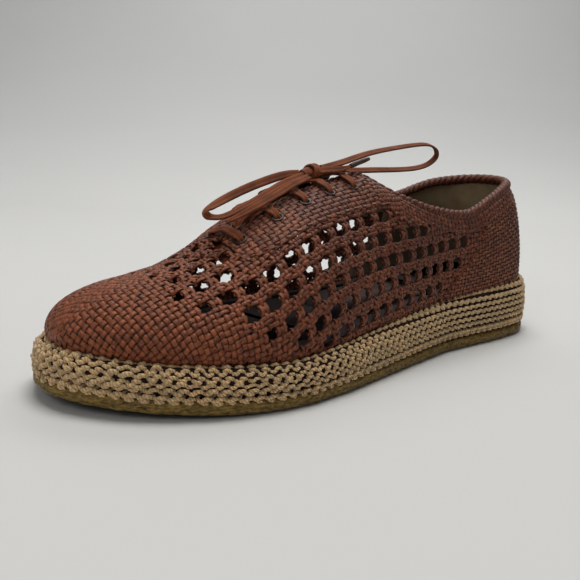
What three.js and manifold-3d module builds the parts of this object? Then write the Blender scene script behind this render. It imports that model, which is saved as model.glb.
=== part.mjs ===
// Woven oxford shoe, left foot, in millimetres.
// +X runs to the toe, +Y to the outer (lateral) side, +Z up. The origin is on the floor,
// under the middle of the shoe's length.
import * as THREE from 'three';
import * as BufferGeometryUtils from 'three/addons/utils/BufferGeometryUtils.js';
import Module from 'manifold-3d';

const wasm = await Module();
wasm.setup();

// Sole sizes
const soleLength = 302;
const ballHalfLateral = 53.2;
const ballHalfMedial = 52.6;
const heelHalf = 39.6;
const toeSwing = 5;
const toeSpring = 4.5;
const outsoleThickness = 6;
const heelStack = 33;
const ballStack = 17.5;
const midsoleBulge = 0.4;
const midsoleRound = 3.4;
const outsoleRound = 1.6;
const featherInset = 4.7;
const layerGap = 0.3;

// Upper sizes
const wall = 2;
const toeHeight = 44;
const instepHeight = 87;
const ankleHeight = 69.2;
const heelHeight = 85.4;
const collarHalf = 30.5;
const throatHalfGap = 6.4;
const crestShift = 6.5;
const sideBulge = 2.4;
const rimRaise = 0.9;
const rimShare = 0.07;

// Weave gaps
const gapRadius = 3.7;
const gapPitch = 17;
const gapSides = 4;

// Eyelets and lace
const eyeletsPerSide = 5;
const eyeletSetback = 3.5;
const eyeletPitch = 15.6;
const eyeletFromEdge = 8.5;
const eyeletBore = 1.8;
const eyeletBarrel = 2.4;
const eyeletFlange = 3.2;
const eyeletFlangeThickness = 0.6;
const eyeletClearance = 0.3;
const laceWidth = 4.6;
const laceThickness = 1.2;
const laceClearance = 0.7;
const cordDiameter = 2.6;
const agletDiameter = 2.4;

// Tongue and insole
const tongueThickness = 1.6;
const tongueGap = 0.5;
const insoleThickness = 2.5;
const insoleClearance = 0.4;

// Plan of the sole edge. along is the share of the length from the heel; the side columns are
// shares of the half width that governs there, heel or ball.
const soleRows = [
  { along: 0, lateral: 0, medial: 0 },
  { along: 0.015, lateral: 0.36, medial: 0.36 },
  { along: 0.05, lateral: 0.72, medial: 0.72 },
  { along: 0.1, lateral: 0.93, medial: 0.93 },
  { along: 0.18, lateral: 1, medial: 1 },
  { along: 0.3, lateral: 0.98, medial: 0.92 },
  { along: 0.42, lateral: 0.967, medial: 0.817 },
  { along: 0.55, lateral: 0.97, medial: 0.857 },
  { along: 0.65, lateral: 0.975, medial: 0.926 },
  { along: 0.74, lateral: 1, medial: 1 },
  { along: 0.83, lateral: 0.906, medial: 0.967 },
  { along: 0.9, lateral: 0.733, medial: 0.836 },
  { along: 0.95, lateral: 0.531, medial: 0.648 },
  { along: 0.985, lateral: 0.283, medial: 0.356 },
  { along: 1, lateral: 0, medial: 0 },
];

// Upper edge of each profile: the crest over the toe and vamp, then the throat, then the collar.
// foot is where the profile starts on the sole, head where it ends, both as shares of the length.
// instep, ankle and heel are the parts of those heights in the height there, the rest is toeHeight.
// gap and collar are shares of the throat's and collar's half openings. shift is a share of
// crestShift. roundLateral and roundMedial are the exponents of the arch, bulge a share of sideBulge.
const topRows = [
  { foot: 1, head: 0.905, instep: 0, ankle: 0, heel: 0, gap: 0, collar: 0, shift: -0.46, roundLateral: 2.3, roundMedial: 2.3, bulge: 0.83 },
  { foot: 0.985, head: 0.897, instep: 0.014, ankle: 0, heel: 0, gap: 0, collar: 0, shift: -0.38, roundLateral: 2.3, roundMedial: 2.2, bulge: 0.83 },
  { foot: 0.95, head: 0.875, instep: 0.047, ankle: 0, heel: 0, gap: 0, collar: 0, shift: -0.15, roundLateral: 2.3, roundMedial: 2.1, bulge: 0.92 },
  { foot: 0.9, head: 0.84, instep: 0.107, ankle: 0, heel: 0, gap: 0, collar: 0, shift: 0.23, roundLateral: 2.25, roundMedial: 1.9, bulge: 1 },
  { foot: 0.84, head: 0.8, instep: 0.21, ankle: 0, heel: 0, gap: 0, collar: 0, shift: 0.62, roundLateral: 2.15, roundMedial: 1.7, bulge: 1 },
  { foot: 0.785, head: 0.762, instep: 0.37, ankle: 0, heel: 0, gap: 0, collar: 0, shift: 0.9, roundLateral: 2, roundMedial: 1.6, bulge: 0.92 },
  { foot: 0.735, head: 0.715, instep: 0.58, ankle: 0, heel: 0, gap: 0.72, collar: 0, shift: 1, roundLateral: 1.9, roundMedial: 1.5, bulge: 0.83 },
  { foot: 0.68, head: 0.67, instep: 0.74, ankle: 0, heel: 0, gap: 0.81, collar: 0, shift: 0.92, roundLateral: 1.8, roundMedial: 1.5, bulge: 0.83 },
  { foot: 0.6, head: 0.6, instep: 0.884, ankle: 0, heel: 0, gap: 0.88, collar: 0, shift: 0.77, roundLateral: 1.75, roundMedial: 1.6, bulge: 0.83 },
  { foot: 0.535, head: 0.54, instep: 0.967, ankle: 0, heel: 0, gap: 1, collar: 0, shift: 0.62, roundLateral: 1.75, roundMedial: 1.7, bulge: 0.83 },
  { foot: 0.5, head: 0.508, instep: 1, ankle: 0, heel: 0, gap: 0, collar: 0.33, shift: 0.46, roundLateral: 1.8, roundMedial: 1.8, bulge: 0.83 },
  { foot: 0.475, head: 0.482, instep: 0.665, ankle: 0.335, heel: 0, gap: 0, collar: 0.68, shift: 0.31, roundLateral: 1.9, roundMedial: 1.9, bulge: 0.83 },
  { foot: 0.43, head: 0.435, instep: 0.36, ankle: 0.64, heel: 0, gap: 0, collar: 0.89, shift: 0.08, roundLateral: 1.95, roundMedial: 1.95, bulge: 0.83 },
  { foot: 0.36, head: 0.365, instep: 0, ankle: 0.9, heel: 0.1, gap: 0, collar: 0.99, shift: 0, roundLateral: 2, roundMedial: 2, bulge: 0.83 },
  { foot: 0.28, head: 0.285, instep: 0, ankle: 1, heel: 0, gap: 0, collar: 1, shift: 0, roundLateral: 2, roundMedial: 2, bulge: 0.83 },
  { foot: 0.2, head: 0.212, instep: 0, ankle: 0.654, heel: 0.346, gap: 0, collar: 0.93, shift: 0, roundLateral: 2, roundMedial: 2, bulge: 0.83 },
  { foot: 0.12, head: 0.142, instep: 0, ankle: 0.272, heel: 0.728, gap: 0, collar: 0.8, shift: 0, roundLateral: 1.9, roundMedial: 1.9, bulge: 0.65 },
  { foot: 0.06, head: 0.094, instep: 0, ankle: 0.117, heel: 0.883, gap: 0, collar: 0.607, shift: 0, roundLateral: 1.8, roundMedial: 1.8, bulge: 0.45 },
  { foot: 0.02, head: 0.065, instep: 0, ankle: 0.037, heel: 0.963, gap: 0, collar: 0.354, shift: 0, roundLateral: 1.7, roundMedial: 1.7, bulge: 0.33 },
  { foot: 0, head: 0.057, instep: 0, ankle: 0, heel: 1, gap: 0, collar: 0, shift: 0, roundLateral: 1.7, roundMedial: 1.7, bulge: 0.33 },
];
const throatFront = 0.785;

const clamp = (value, low, high) => Math.min(high, Math.max(low, value));
const stationOf = (along) => Math.acos(clamp(2 * along - 1, -1, 1)) / Math.PI;
const alongOf = (station) => (1 + Math.cos(Math.PI * station)) / 2;

// Smooth curve through uneven table rows, Catmull-Rom slopes.
function makeCurve(stations, values) {
  const order = stations.map((_, i) => i).sort((a, b) => stations[a] - stations[b]);
  const xs = order.map((i) => stations[i]);
  const ys = order.map((i) => values[i]);
  const count = xs.length;
  const steps = xs.slice(1).map((x, i) => x - xs[i]);
  const rises = steps.map((step, i) => (ys[i + 1] - ys[i]) / step);
  const slopes = xs.map((_, i) => {
    if (i === 0) return rises[0];
    if (i === count - 1) return rises[count - 2];
    return (rises[i - 1] * steps[i] + rises[i] * steps[i - 1]) / (steps[i] + steps[i - 1]);
  });
  return (x) => {
    let k = 0;
    while (k < count - 2 && x > xs[k + 1]) k += 1;
    const t = (x - xs[k]) / steps[k];
    const a = 2 * t ** 3 - 3 * t ** 2 + 1;
    const b = t ** 3 - 2 * t ** 2 + t;
    const c = -2 * t ** 3 + 3 * t ** 2;
    const d = t ** 3 - t ** 2;
    return a * ys[k] + b * steps[k] * slopes[k] + c * ys[k + 1] + d * steps[k] * slopes[k + 1];
  };
}
const soleStations = soleRows.map((row) => stationOf(row.along));
const soleCurve = {
  lateral: makeCurve(soleStations, soleRows.map((row) => row.lateral)),
  medial: makeCurve(soleStations, soleRows.map((row) => row.medial)),
};
const topStations = topRows.map((row) => stationOf(row.foot));
const topCurve = {};
for (const name of Object.keys(topRows[0])) {
  topCurve[name] = makeCurve(topStations, topRows.map((row) => row[name]));
}
const throatStation = stationOf(throatFront);

// Point on the sole edge. side is +1 for lateral and -1 for medial.
function edgePoint(station, side) {
  const along = alongOf(station);
  const forepart = clamp((along - 0.35) / 0.3, 0, 1);
  const ballHalf = side > 0 ? ballHalfLateral : ballHalfMedial;
  const share = side > 0 ? soleCurve.lateral(station) : soleCurve.medial(station);
  const half = share * (heelHalf + (ballHalf - heelHalf) * forepart);
  const swing = toeSwing * clamp((along - 0.8) / 0.2, 0, 1) ** 2;
  return [(along - 0.5) * soleLength, side * half - swing];
}
function edgeNormal(station, side) {
  const step = 0.002;
  const before = station - step < 0 ? edgePoint(step - station, -side) : edgePoint(station - step, side);
  const after = station + step > 1 ? edgePoint(2 - station - step, -side) : edgePoint(station + step, side);
  const dx = after[0] - before[0];
  const dy = after[1] - before[1];
  const length = Math.hypot(dx, dy);
  return [(side * dy) / length, (-side * dx) / length];
}
function insetPoint(station, side, inset) {
  const [x, y] = edgePoint(station, side);
  const [nx, ny] = edgeNormal(station, side);
  return [x - nx * inset, y - ny * inset];
}
const springAt = (x) => toeSpring * clamp((x / soleLength + 0.5 - 0.7) / 0.3, 0, 1) ** 2;
const featherAt = (x) =>
  heelStack + (ballStack - heelStack) * clamp((x / soleLength + 0.5) / 0.75, 0, 1) + springAt(x);

const isOpen = (station) => station > throatStation + 1e-6;
function topPoint(station, side) {
  const open = isOpen(station);
  const half = open
    ? Math.max(0, topCurve.gap(station) * throatHalfGap + topCurve.collar(station) * collarHalf)
    : 0;
  const instep = topCurve.instep(station);
  const ankle = topCurve.ankle(station);
  const heel = topCurve.heel(station);
  const z = toeHeight * (1 - instep - ankle - heel) + instepHeight * instep + ankleHeight * ankle + heelHeight * heel;
  const x = (topCurve.head(station) - 0.5) * soleLength;
  return [x, topCurve.shift(station) * crestShift + side * (station >= 1 ? 0 : half), z];
}
function crestSlope(station) {
  const a = topPoint(Math.max(0, station - 0.01), 1);
  const b = topPoint(station + 0.01, 1);
  return (b[2] - a[2]) / (b[0] - a[0]);
}

// The outer face of the upper: station 0 at the toe to 1 at the heel, rise 0 at the sole to 1 at the top.
function surfacePoint(station, rise, side) {
  const [footX, footY] = insetPoint(station, side, featherInset);
  const [nx, ny] = edgeNormal(station, side);
  const footZ = featherAt(footX);
  const [headX, headY, headZ] = topPoint(station, side);
  const power = 2 / (side > 0 ? topCurve.roundLateral(station) : topCurve.roundMedial(station));
  const angle = (clamp(rise, 0, 1) * Math.PI) / 2;
  const across = 1 - Math.max(0, Math.cos(angle)) ** power;
  const up = Math.max(0, Math.sin(angle)) ** power;
  const vamp = clamp((alongOf(station) - 0.6) / 0.15, 0, 1);
  const lean = vamp > 0 ? (footX - headX) * -crestSlope(station) * vamp : 0;
  const out = Math.sin(Math.PI * clamp(rise, 0, 1) ** 0.62) * topCurve.bulge(station) * sideBulge;
  return new THREE.Vector3(
    footX + (headX - footX) * across + nx * out,
    footY + (headY - footY) * across + ny * out,
    footZ + (headZ - footZ - lean) * up + lean * across,
  );
}
function mirroredPoint(station, rise, side) {
  let at = station;
  let on = side;
  let up = rise;
  if (at < 0) {
    at = -at;
    on = -on;
  }
  if (at > 1) {
    at = 2 - at;
    on = -on;
  }
  if (up > 1) {
    up = isOpen(at) ? 1 : 2 - up;
    on = isOpen(at) ? on : -on;
  }
  return surfacePoint(at, Math.max(0, up), on);
}
function sideNormal(station, rise, side) {
  const step = 0.01;
  const along = mirroredPoint(station + step, rise, side).sub(mirroredPoint(station - step, rise, side));
  const upper = mirroredPoint(station, rise + step, side).sub(mirroredPoint(station, rise - step, side));
  return along.cross(upper).normalize().multiplyScalar(side);
}
function surfaceNormal(station, rise, side) {
  const own = sideNormal(station, rise, side);
  const shared = rise >= 1 && !isOpen(station);
  return shared ? sideNormal(station, rise, 1).add(sideNormal(station, rise, -1)).normalize() : own;
}
function shellPoint(station, rise, side, depth) {
  const normal = surfaceNormal(station, rise, side);
  if (rise === 0) normal.z = 0;
  return surfacePoint(station, rise, side).addScaledVector(normal, -depth);
}

// Collects quads and turns them into one closed geometry.
class Skin {
  constructor() {
    this.points = [];
  }
  triangle(a, b, c) {
    this.points.push(a, b, c);
  }
  quad(a, b, c, d, flip = false) {
    if (flip) {
      this.triangle(a, c, b);
      this.triangle(a, d, c);
    } else {
      this.triangle(a, b, c);
      this.triangle(a, c, d);
    }
  }
  geometry() {
    const flat = [];
    for (const point of this.points) flat.push(point.x, point.y, point.z);
    const soup = new THREE.BufferGeometry();
    soup.setAttribute('position', new THREE.Float32BufferAttribute(flat, 3));
    const merged = BufferGeometryUtils.mergeVertices(soup, 1e-3);
    const index = merged.getIndex().array;
    const kept = [];
    for (let i = 0; i < index.length; i += 3) {
      const [a, b, c] = [index[i], index[i + 1], index[i + 2]];
      if (a !== b && b !== c && a !== c) kept.push(a, b, c);
    }
    merged.setIndex(kept);
    return merged;
  }
}
function toManifold(geometry) {
  const plain = geometry.clone();
  plain.deleteAttribute('normal');
  plain.deleteAttribute('uv');
  const merged = BufferGeometryUtils.mergeVertices(plain, 1e-4);
  return new wasm.Manifold(new wasm.Mesh({
    numProp: 3,
    vertProperties: new Float32Array(merged.getAttribute('position').array),
    triVerts: new Uint32Array(merged.getIndex().array),
  }));
}
function toGeometry(manifold) {
  const mesh = manifold.getMesh();
  const geometry = new THREE.BufferGeometry();
  geometry.setAttribute('position', new THREE.BufferAttribute(new Float32Array(mesh.vertProperties), 3));
  geometry.setIndex(new THREE.BufferAttribute(new Uint32Array(mesh.triVerts), 1));
  return geometry;
}

// Stations along the shoe, with one exactly at the front of the throat.
function stationList(count) {
  const list = Array.from({ length: count + 1 }, (_, i) => i / count);
  let nearest = 0;
  list.forEach((value, i) => {
    if (Math.abs(value - throatStation) < Math.abs(list[nearest] - throatStation)) nearest = i;
  });
  list[nearest] = throatStation;
  return list;
}

// Closed solid from rings that follow the sole edge.
function ringStack(rings, count) {
  const skin = new Skin();
  const stations = Array.from({ length: count + 1 }, (_, i) => i / count);
  const point = (ring, station, side) => {
    const [x, y] = insetPoint(station, side, ring.inset);
    return new THREE.Vector3(x, y, ring.height(x));
  };
  for (let i = 0; i < count; i += 1) {
    for (const side of [1, -1]) {
      for (let k = 0; k < rings.length - 1; k += 1) {
        skin.quad(
          point(rings[k], stations[i], side),
          point(rings[k], stations[i + 1], side),
          point(rings[k + 1], stations[i + 1], side),
          point(rings[k + 1], stations[i], side),
          side < 0,
        );
      }
    }
    const last = rings[rings.length - 1];
    skin.quad(
      point(last, stations[i], 1),
      point(last, stations[i + 1], 1),
      point(last, stations[i + 1], -1),
      point(last, stations[i], -1),
    );
    skin.quad(
      point(rings[0], stations[i], 1),
      point(rings[0], stations[i + 1], 1),
      point(rings[0], stations[i + 1], -1),
      point(rings[0], stations[i], -1),
      true,
    );
  }
  return skin.geometry();
}

// Outsole: flat from the heel to the ball, lifted at the toe, with rounded edges.
const outsoleGeometry = ringStack([
  { inset: outsoleRound, height: (x) => springAt(x) },
  { inset: outsoleRound * 0.3, height: (x) => outsoleThickness * 0.13 + springAt(x) },
  { inset: 0, height: (x) => outsoleThickness * 0.37 + springAt(x) },
  { inset: outsoleRound * 0.15, height: (x) => outsoleThickness * 0.78 + springAt(x) },
  { inset: outsoleRound * 0.75, height: (x) => outsoleThickness + springAt(x) },
], 30);

// Midsole: a wedge with a bulging side and a rounded upper edge.
const midsoleBottom = (x) => outsoleThickness + layerGap + springAt(x);
const midsoleLevel = (share) => (x) =>
  midsoleBottom(x) + (featherAt(x) - layerGap - midsoleBottom(x)) * share;
const midsoleGeometry = ringStack([
  { inset: midsoleRound * 0.45, height: midsoleLevel(0) },
  { inset: midsoleRound * 0.08, height: midsoleLevel(0.16) },
  { inset: -midsoleBulge, height: midsoleLevel(0.48) },
  { inset: midsoleRound * 0.1, height: midsoleLevel(0.78) },
  { inset: midsoleRound * 0.45, height: midsoleLevel(0.94) },
  { inset: midsoleRound, height: midsoleLevel(1) },
], 30);

// Insole: a thin slab inside the upper.
const insoleInset = featherInset + wall + insoleClearance;
const insoleGeometry = ringStack([
  { inset: insoleInset, height: (x) => featherAt(x) },
  { inset: insoleInset, height: (x) => featherAt(x) + insoleThickness },
], 28);

// Upper: one wall, closed over the toe and vamp, open at throat, collar and underneath.
const upperStations = stationList(30);
const rimStart = 1 - rimShare;
const outerRises = [0, 0.14, 0.33, 0.54, 0.75, rimStart, rimStart + 0.008, 1];
const innerRises = [0, 0.3, 0.6, 0.75, 0.88, 1];
function rimLift(station, rise) {
  const open = clamp((station - throatStation) / 0.02, 0, 1);
  return rise > rimStart + 0.001 ? rimRaise * open : 0;
}
function upperWall() {
  const skin = new Skin();
  const outer = (i, j, side) =>
    shellPoint(upperStations[i], outerRises[j], side, -rimLift(upperStations[i], outerRises[j]));
  const inner = (i, j, side) => shellPoint(upperStations[i], innerRises[j], side, wall);
  const outerTop = outerRises.length - 1;
  const innerTop = innerRises.length - 1;
  for (const side of [1, -1]) {
    const flip = side < 0;
    for (let i = 0; i < upperStations.length - 1; i += 1) {
      for (let j = 0; j < outerTop; j += 1) {
        skin.quad(outer(i + 1, j, side), outer(i + 1, j + 1, side), outer(i, j + 1, side), outer(i, j, side), flip);
      }
      for (let j = 0; j < innerTop; j += 1) {
        skin.quad(inner(i, j + 1, side), inner(i + 1, j + 1, side), inner(i + 1, j, side), inner(i, j, side), flip);
      }
      skin.quad(outer(i + 1, 0, side), outer(i, 0, side), inner(i, 0, side), inner(i + 1, 0, side), flip);
      if (isOpen(upperStations[i + 1])) {
        skin.quad(
          outer(i, outerTop, side),
          outer(i + 1, outerTop, side),
          inner(i + 1, innerTop, side),
          inner(i, innerTop, side),
          flip,
        );
      }
    }
  }
  return toManifold(skin.geometry());
}

// A straight peg through the wall, used to cut a gap or an eyelet hole.
function addPeg(skin, centre, normal, radius, sides, above, below) {
  const across = new THREE.Vector3(1, 0, 0).addScaledVector(normal, -normal.x).normalize();
  const upward = new THREE.Vector3().crossVectors(normal, across);
  const corner = (k, depth) => {
    const angle = ((k % sides) / sides) * 2 * Math.PI;
    return centre.clone()
      .addScaledVector(across, radius * Math.cos(angle))
      .addScaledVector(upward, radius * Math.sin(angle))
      .addScaledVector(normal, depth);
  };
  const top = centre.clone().addScaledVector(normal, above);
  const bottom = centre.clone().addScaledVector(normal, -below);
  for (let k = 0; k < sides; k += 1) {
    skin.quad(corner(k, -below), corner(k + 1, -below), corner(k + 1, above), corner(k, above));
    skin.triangle(top, corner(k, above), corner(k + 1, above));
    skin.triangle(bottom, corner(k + 1, -below), corner(k, -below));
  }
}

// Rows of weave gaps. rise is the height on the side as a share, from and to are shares of the
// length, and every second row is moved by half a pitch.
const gapRows = [
  { rise: 0.17, from: 0.16, to: 0.6 },
  { rise: 0.29, from: 0.13, to: 0.67 },
  { rise: 0.41, from: 0.12, to: 0.73 },
  { rise: 0.53, from: 0.12, to: 0.8 },
  { rise: 0.64, from: 0.13, to: 0.82 },
];
function gapPegs() {
  const skin = new Skin();
  gapRows.forEach((row, rowIndex) => {
    const pitch = gapPitch / soleLength;
    for (let along = row.from + (rowIndex % 2) * pitch * 0.5; along < row.to; along += pitch) {
      const station = stationOf(along);
      for (const side of [1, -1]) {
        const centre = surfacePoint(station, row.rise, side);
        const normal = surfaceNormal(station, row.rise, side);
        addPeg(skin, centre, normal, gapRadius, gapSides, 1.5, wall + 1.5);
      }
    }
  });
  return toManifold(skin.geometry());
}

// Place of an eyelet: found down from the throat edge along the profile.
function eyeletPlace(index, side) {
  const headX = (topCurve.head(throatStation) - 0.5) * soleLength - eyeletSetback - index * eyeletPitch;
  let low = throatStation;
  let high = stationOf(0.45);
  for (let k = 0; k < 40; k += 1) {
    const middle = (low + high) / 2;
    if ((topCurve.head(middle) - 0.5) * soleLength > headX) low = middle;
    else high = middle;
  }
  let rise = 1;
  let length = 0;
  let previous = surfacePoint(low, 1, side);
  while (length < eyeletFromEdge && rise > 0.3) {
    rise -= 0.005;
    const next = surfacePoint(low, rise, side);
    length += next.distanceTo(previous);
    previous = next;
  }
  return { station: low, rise, point: previous, normal: surfaceNormal(low, rise, side) };
}
const eyeletPlaces = [];
for (let index = 0; index < eyeletsPerSide; index += 1) {
  for (const side of [1, -1]) eyeletPlaces.push({ index, side, ...eyeletPlace(index, side) });
}
function eyeletPegs() {
  const skin = new Skin();
  for (const place of eyeletPlaces) {
    addPeg(skin, place.point, place.normal, (eyeletBarrel + eyeletClearance) / Math.cos(Math.PI / 8), 8, 2, wall + 2);
  }
  return toManifold(skin.geometry());
}
const upperGeometry = toGeometry(upperWall().subtract(gapPegs()).subtract(eyeletPegs()));

// Eyelet ring: a barrel through the wall with a flange outside.
const eyeletGeometry = new THREE.LatheGeometry([
  [eyeletBore, -wall + 0.1],
  [eyeletBarrel, -wall + 0.1],
  [eyeletBarrel, eyeletClearance],
  [eyeletFlange, eyeletClearance],
  [eyeletFlange, eyeletClearance + eyeletFlangeThickness],
  [eyeletBore, eyeletClearance + eyeletFlangeThickness],
  [eyeletBore, -wall + 0.1],
].map(([radius, height]) => new THREE.Vector2(radius, height)), 8);

// Tongue: a curved sheet that follows the inside of the throat.
const tongueFront = throatFront + 0.03;
const tongueBack = 0.497;
function tongueSheet() {
  const stations = upperStations.filter((station) =>
    station >= stationOf(tongueFront) && station <= stationOf(tongueBack));
  const rows = stations.length - 1;
  const reach = innerRises.slice(-4);
  const depthTop = wall + tongueGap;
  const grid = [];
  for (let i = 0; i <= rows; i += 1) {
    const station = stations[i];
    const line = [];
    for (const side of [1, -1]) {
      const part = reach.map((rise) => {
        const place = surfacePoint(station, rise, side);
        const normal = surfaceNormal(station, rise, side);
        return { place, normal };
      });
      if (side < 0) part.reverse();
      line.push(...part);
    }
    if (!isOpen(station)) line.splice(reach.length, 1);
    else {
      const left = line[reach.length - 1];
      const right = line[reach.length];
      line[reach.length - 1] = {
        place: left.place.clone().lerp(right.place, 0.5),
        normal: left.normal.clone().add(right.normal).normalize(),
      };
      line.splice(reach.length, 1);
    }
    grid.push(line.map(({ place, normal }) => ({
      upper: place.clone().addScaledVector(normal, -depthTop),
      lower: place.clone().addScaledVector(normal, -depthTop - tongueThickness),
    })));
  }
  const skin = new Skin();
  const last = grid[0].length - 1;
  for (let i = 0; i < rows; i += 1) {
    for (let j = 0; j < last; j += 1) {
      skin.quad(grid[i][j].upper, grid[i + 1][j].upper, grid[i + 1][j + 1].upper, grid[i][j + 1].upper);
      skin.quad(grid[i][j].lower, grid[i + 1][j].lower, grid[i + 1][j + 1].lower, grid[i][j + 1].lower, true);
    }
    skin.quad(grid[i][0].lower, grid[i + 1][0].lower, grid[i + 1][0].upper, grid[i][0].upper);
    skin.quad(grid[i][last].lower, grid[i + 1][last].lower, grid[i + 1][last].upper, grid[i][last].upper, true);
  }
  for (let j = 0; j < last; j += 1) {
    skin.quad(grid[0][j].upper, grid[0][j + 1].upper, grid[0][j + 1].lower, grid[0][j].lower);
    skin.quad(grid[rows][j].upper, grid[rows][j + 1].upper, grid[rows][j + 1].lower, grid[rows][j].lower, true);
  }
  return skin.geometry();
}

// A flat strand along a path, its width lying across the given up directions.
function strand(points, ups, width, thickness) {
  const skin = new Skin();
  const count = points.length;
  const sections = points.map((point, i) => {
    const before = points[Math.max(0, i - 1)];
    const after = points[Math.min(count - 1, i + 1)];
    const along = after.clone().sub(before).normalize();
    const up = ups[i].clone().addScaledVector(along, -ups[i].dot(along)).normalize();
    const across = new THREE.Vector3().crossVectors(up, along);
    const corners = [[0.5, -0.25], [0.5, 0.25], [0.32, 0.5], [-0.32, 0.5], [-0.5, 0.25], [-0.5, -0.25], [-0.32, -0.5], [0.32, -0.5]];
    return corners.map(([w, h]) =>
      point.clone().addScaledVector(across, w * width).addScaledVector(up, h * thickness));
  });
  for (let i = 0; i < count - 1; i += 1) {
    for (let k = 0; k < 8; k += 1) {
      const next = (k + 1) % 8;
      skin.quad(sections[i][k], sections[i][next], sections[i + 1][next], sections[i + 1][k]);
    }
  }
  for (let k = 1; k < 7; k += 1) {
    skin.triangle(sections[0][0], sections[0][k + 1], sections[0][k]);
    skin.triangle(sections[count - 1][0], sections[count - 1][k], sections[count - 1][k + 1]);
  }
  return toManifold(skin.geometry());
}
const strandHeight = eyeletClearance + eyeletFlangeThickness + laceClearance + laceThickness / 2;
const placeOf = (index, side) => eyeletPlaces.find((place) => place.index === index && place.side === side);
function overEdge(place, side, share) {
  const rise = place.rise + (1 - place.rise) * share;
  const normal = surfaceNormal(place.station, rise, side);
  return {
    point: surfacePoint(place.station, rise, side).addScaledVector(normal, strandHeight),
    up: normal,
  };
}
// A crossing: from above each eyelet over the throat edge to the middle, where the two meet.
function laceCrossing(index) {
  let joined = null;
  for (const side of [1, -1]) {
    const place = placeOf(index, side);
    const other = placeOf(Math.max(0, index - 1), -side);
    const edge = overEdge(place, side, 1);
    const far = overEdge(other, -side, 1);
    const parts = [
      { point: place.point.clone().addScaledVector(place.normal, strandHeight), up: place.normal },
      overEdge(place, side, 0.5),
      edge,
      { point: edge.point.clone().lerp(far.point, 0.5), up: edge.up.clone().add(far.up).normalize() },
      { point: edge.point.clone().lerp(far.point, 0.68), up: far.up },
    ];
    const solid = strand(parts.map((part) => part.point), parts.map((part) => part.up), laceWidth, laceThickness);
    joined = joined ? joined.add(solid) : solid;
  }
  return toGeometry(joined);
}

// Cord pieces of the bow, drawn through points chosen by hand.
function cordGeometry(points, diameter, steps) {
  const curve = new THREE.CatmullRomCurve3(points.map(([x, y, z]) => new THREE.Vector3(x, y, z)));
  const sides = 8;
  const shape = new THREE.Shape(Array.from({ length: sides }, (_, k) => {
    const angle = (k / sides) * 2 * Math.PI;
    return new THREE.Vector2(Math.cos(angle) * diameter * 0.5, Math.sin(angle) * diameter * 0.5);
  }));
  const geometry = new THREE.ExtrudeGeometry(shape, { steps, extrudePath: curve, bevelEnabled: false });
  return toGeometry(toManifold(geometry));
}
const knotPoints = [[34.3, 7, 87.8], [30, 6.6, 88.7], [26, 6, 89], [22.6, 5.4, 89]];
const frontLoopPoints = [
  [34.9, 5.3, 88], [38, 3.6, 87.6], [44, 2.4, 86.4], [53, 2, 84], [63, 2, 81], [74, 3, 77.4], [84, 5, 74], [89, 7, 72],
  [88, 9, 70.4], [82, 10, 70.4], [73, 10.4, 73.6], [64, 10.4, 77.4], [54, 9.4, 81.4], [46, 8.8, 84.4], [34.9, 8.8, 87.6],
];
const backLoopPoints = [
  [21.8, 6.9, 90.6], [17, 8, 91.8], [8, 8, 93.8], [-9, 8, 98], [-30, 7, 101.2], [-56, 6, 104], [-68, 5, 102.4],
  [-73, 3, 98.2], [-69, 1, 93.8], [-58, 1, 91.4], [-42, 1.5, 90.4], [-24, 2, 90], [-6, 2.5, 89.6], [8, 3, 90],
  [21.8, 3.6, 90.4],
];
const frontEndPoints = [[35, 11.8, 87], [46, 13.4, 83.8], [56, 14, 79.6], [67, 14.4, 75.2], [77, 14, 71], [83, 13.4, 68.6]];
const backEndPoints = [[21.8, 10, 90], [15, 11.6, 90.4], [8, 12, 92]];
const backAgletPoints = [[7.1, 12, 92.3], [0, 11.2, 94], [-7, 10.4, 95.6]];

const leather = new THREE.MeshStandardMaterial({ color: 0x6b3223, roughness: 0.55, metalness: 0 });
const cordCover = new THREE.MeshStandardMaterial({ color: 0xb59a72, roughness: 0.9, metalness: 0 });
const crepe = new THREE.MeshStandardMaterial({ color: 0x6d5a2a, roughness: 0.8, metalness: 0 });
const lining = new THREE.MeshStandardMaterial({ color: 0xb89873, roughness: 0.75, metalness: 0 });
const laceCloth = new THREE.MeshStandardMaterial({ color: 0x8a4a2b, roughness: 0.7, metalness: 0 });
const darkMetal = new THREE.MeshStandardMaterial({ color: 0x1c1a19, roughness: 0.35, metalness: 0.9 });

const group = new THREE.Group();
function addPart(name, geometry, material) {
  const mesh = new THREE.Mesh(geometry, material);
  mesh.name = name;
  group.add(mesh);
  return mesh;
}
addPart('outsole', outsoleGeometry, crepe);
addPart('midsole', midsoleGeometry, cordCover);
addPart('insole', insoleGeometry, lining);
addPart('upper', upperGeometry, leather);
addPart('tongue', tongueSheet(), leather);
const upAxis = new THREE.Vector3(0, 1, 0);
for (const place of eyeletPlaces) {
  const sideName = place.side > 0 ? 'lateral' : 'medial';
  const ring = addPart(`eyelet_${sideName}_${place.index + 1}`, eyeletGeometry, darkMetal);
  ring.position.copy(place.point);
  ring.quaternion.setFromUnitVectors(upAxis, place.normal);
}
for (let index = 0; index < eyeletsPerSide; index += 1) {
  addPart(`lace_crossing_${index + 1}`, laceCrossing(index), laceCloth);
}
addPart('lace_knot', cordGeometry(knotPoints, cordDiameter * 1.5, 6), laceCloth);
addPart('lace_loop_front', cordGeometry(frontLoopPoints, cordDiameter, 26), laceCloth);
addPart('lace_loop_back', cordGeometry(backLoopPoints, cordDiameter, 32), laceCloth);
addPart('lace_end_front', cordGeometry(frontEndPoints, cordDiameter, 12), laceCloth);
addPart('lace_end_back', cordGeometry(backEndPoints, cordDiameter, 4), laceCloth);
addPart('lace_aglet_back', cordGeometry(backAgletPoints, agletDiameter, 4), darkMetal);

export default group;
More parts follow.
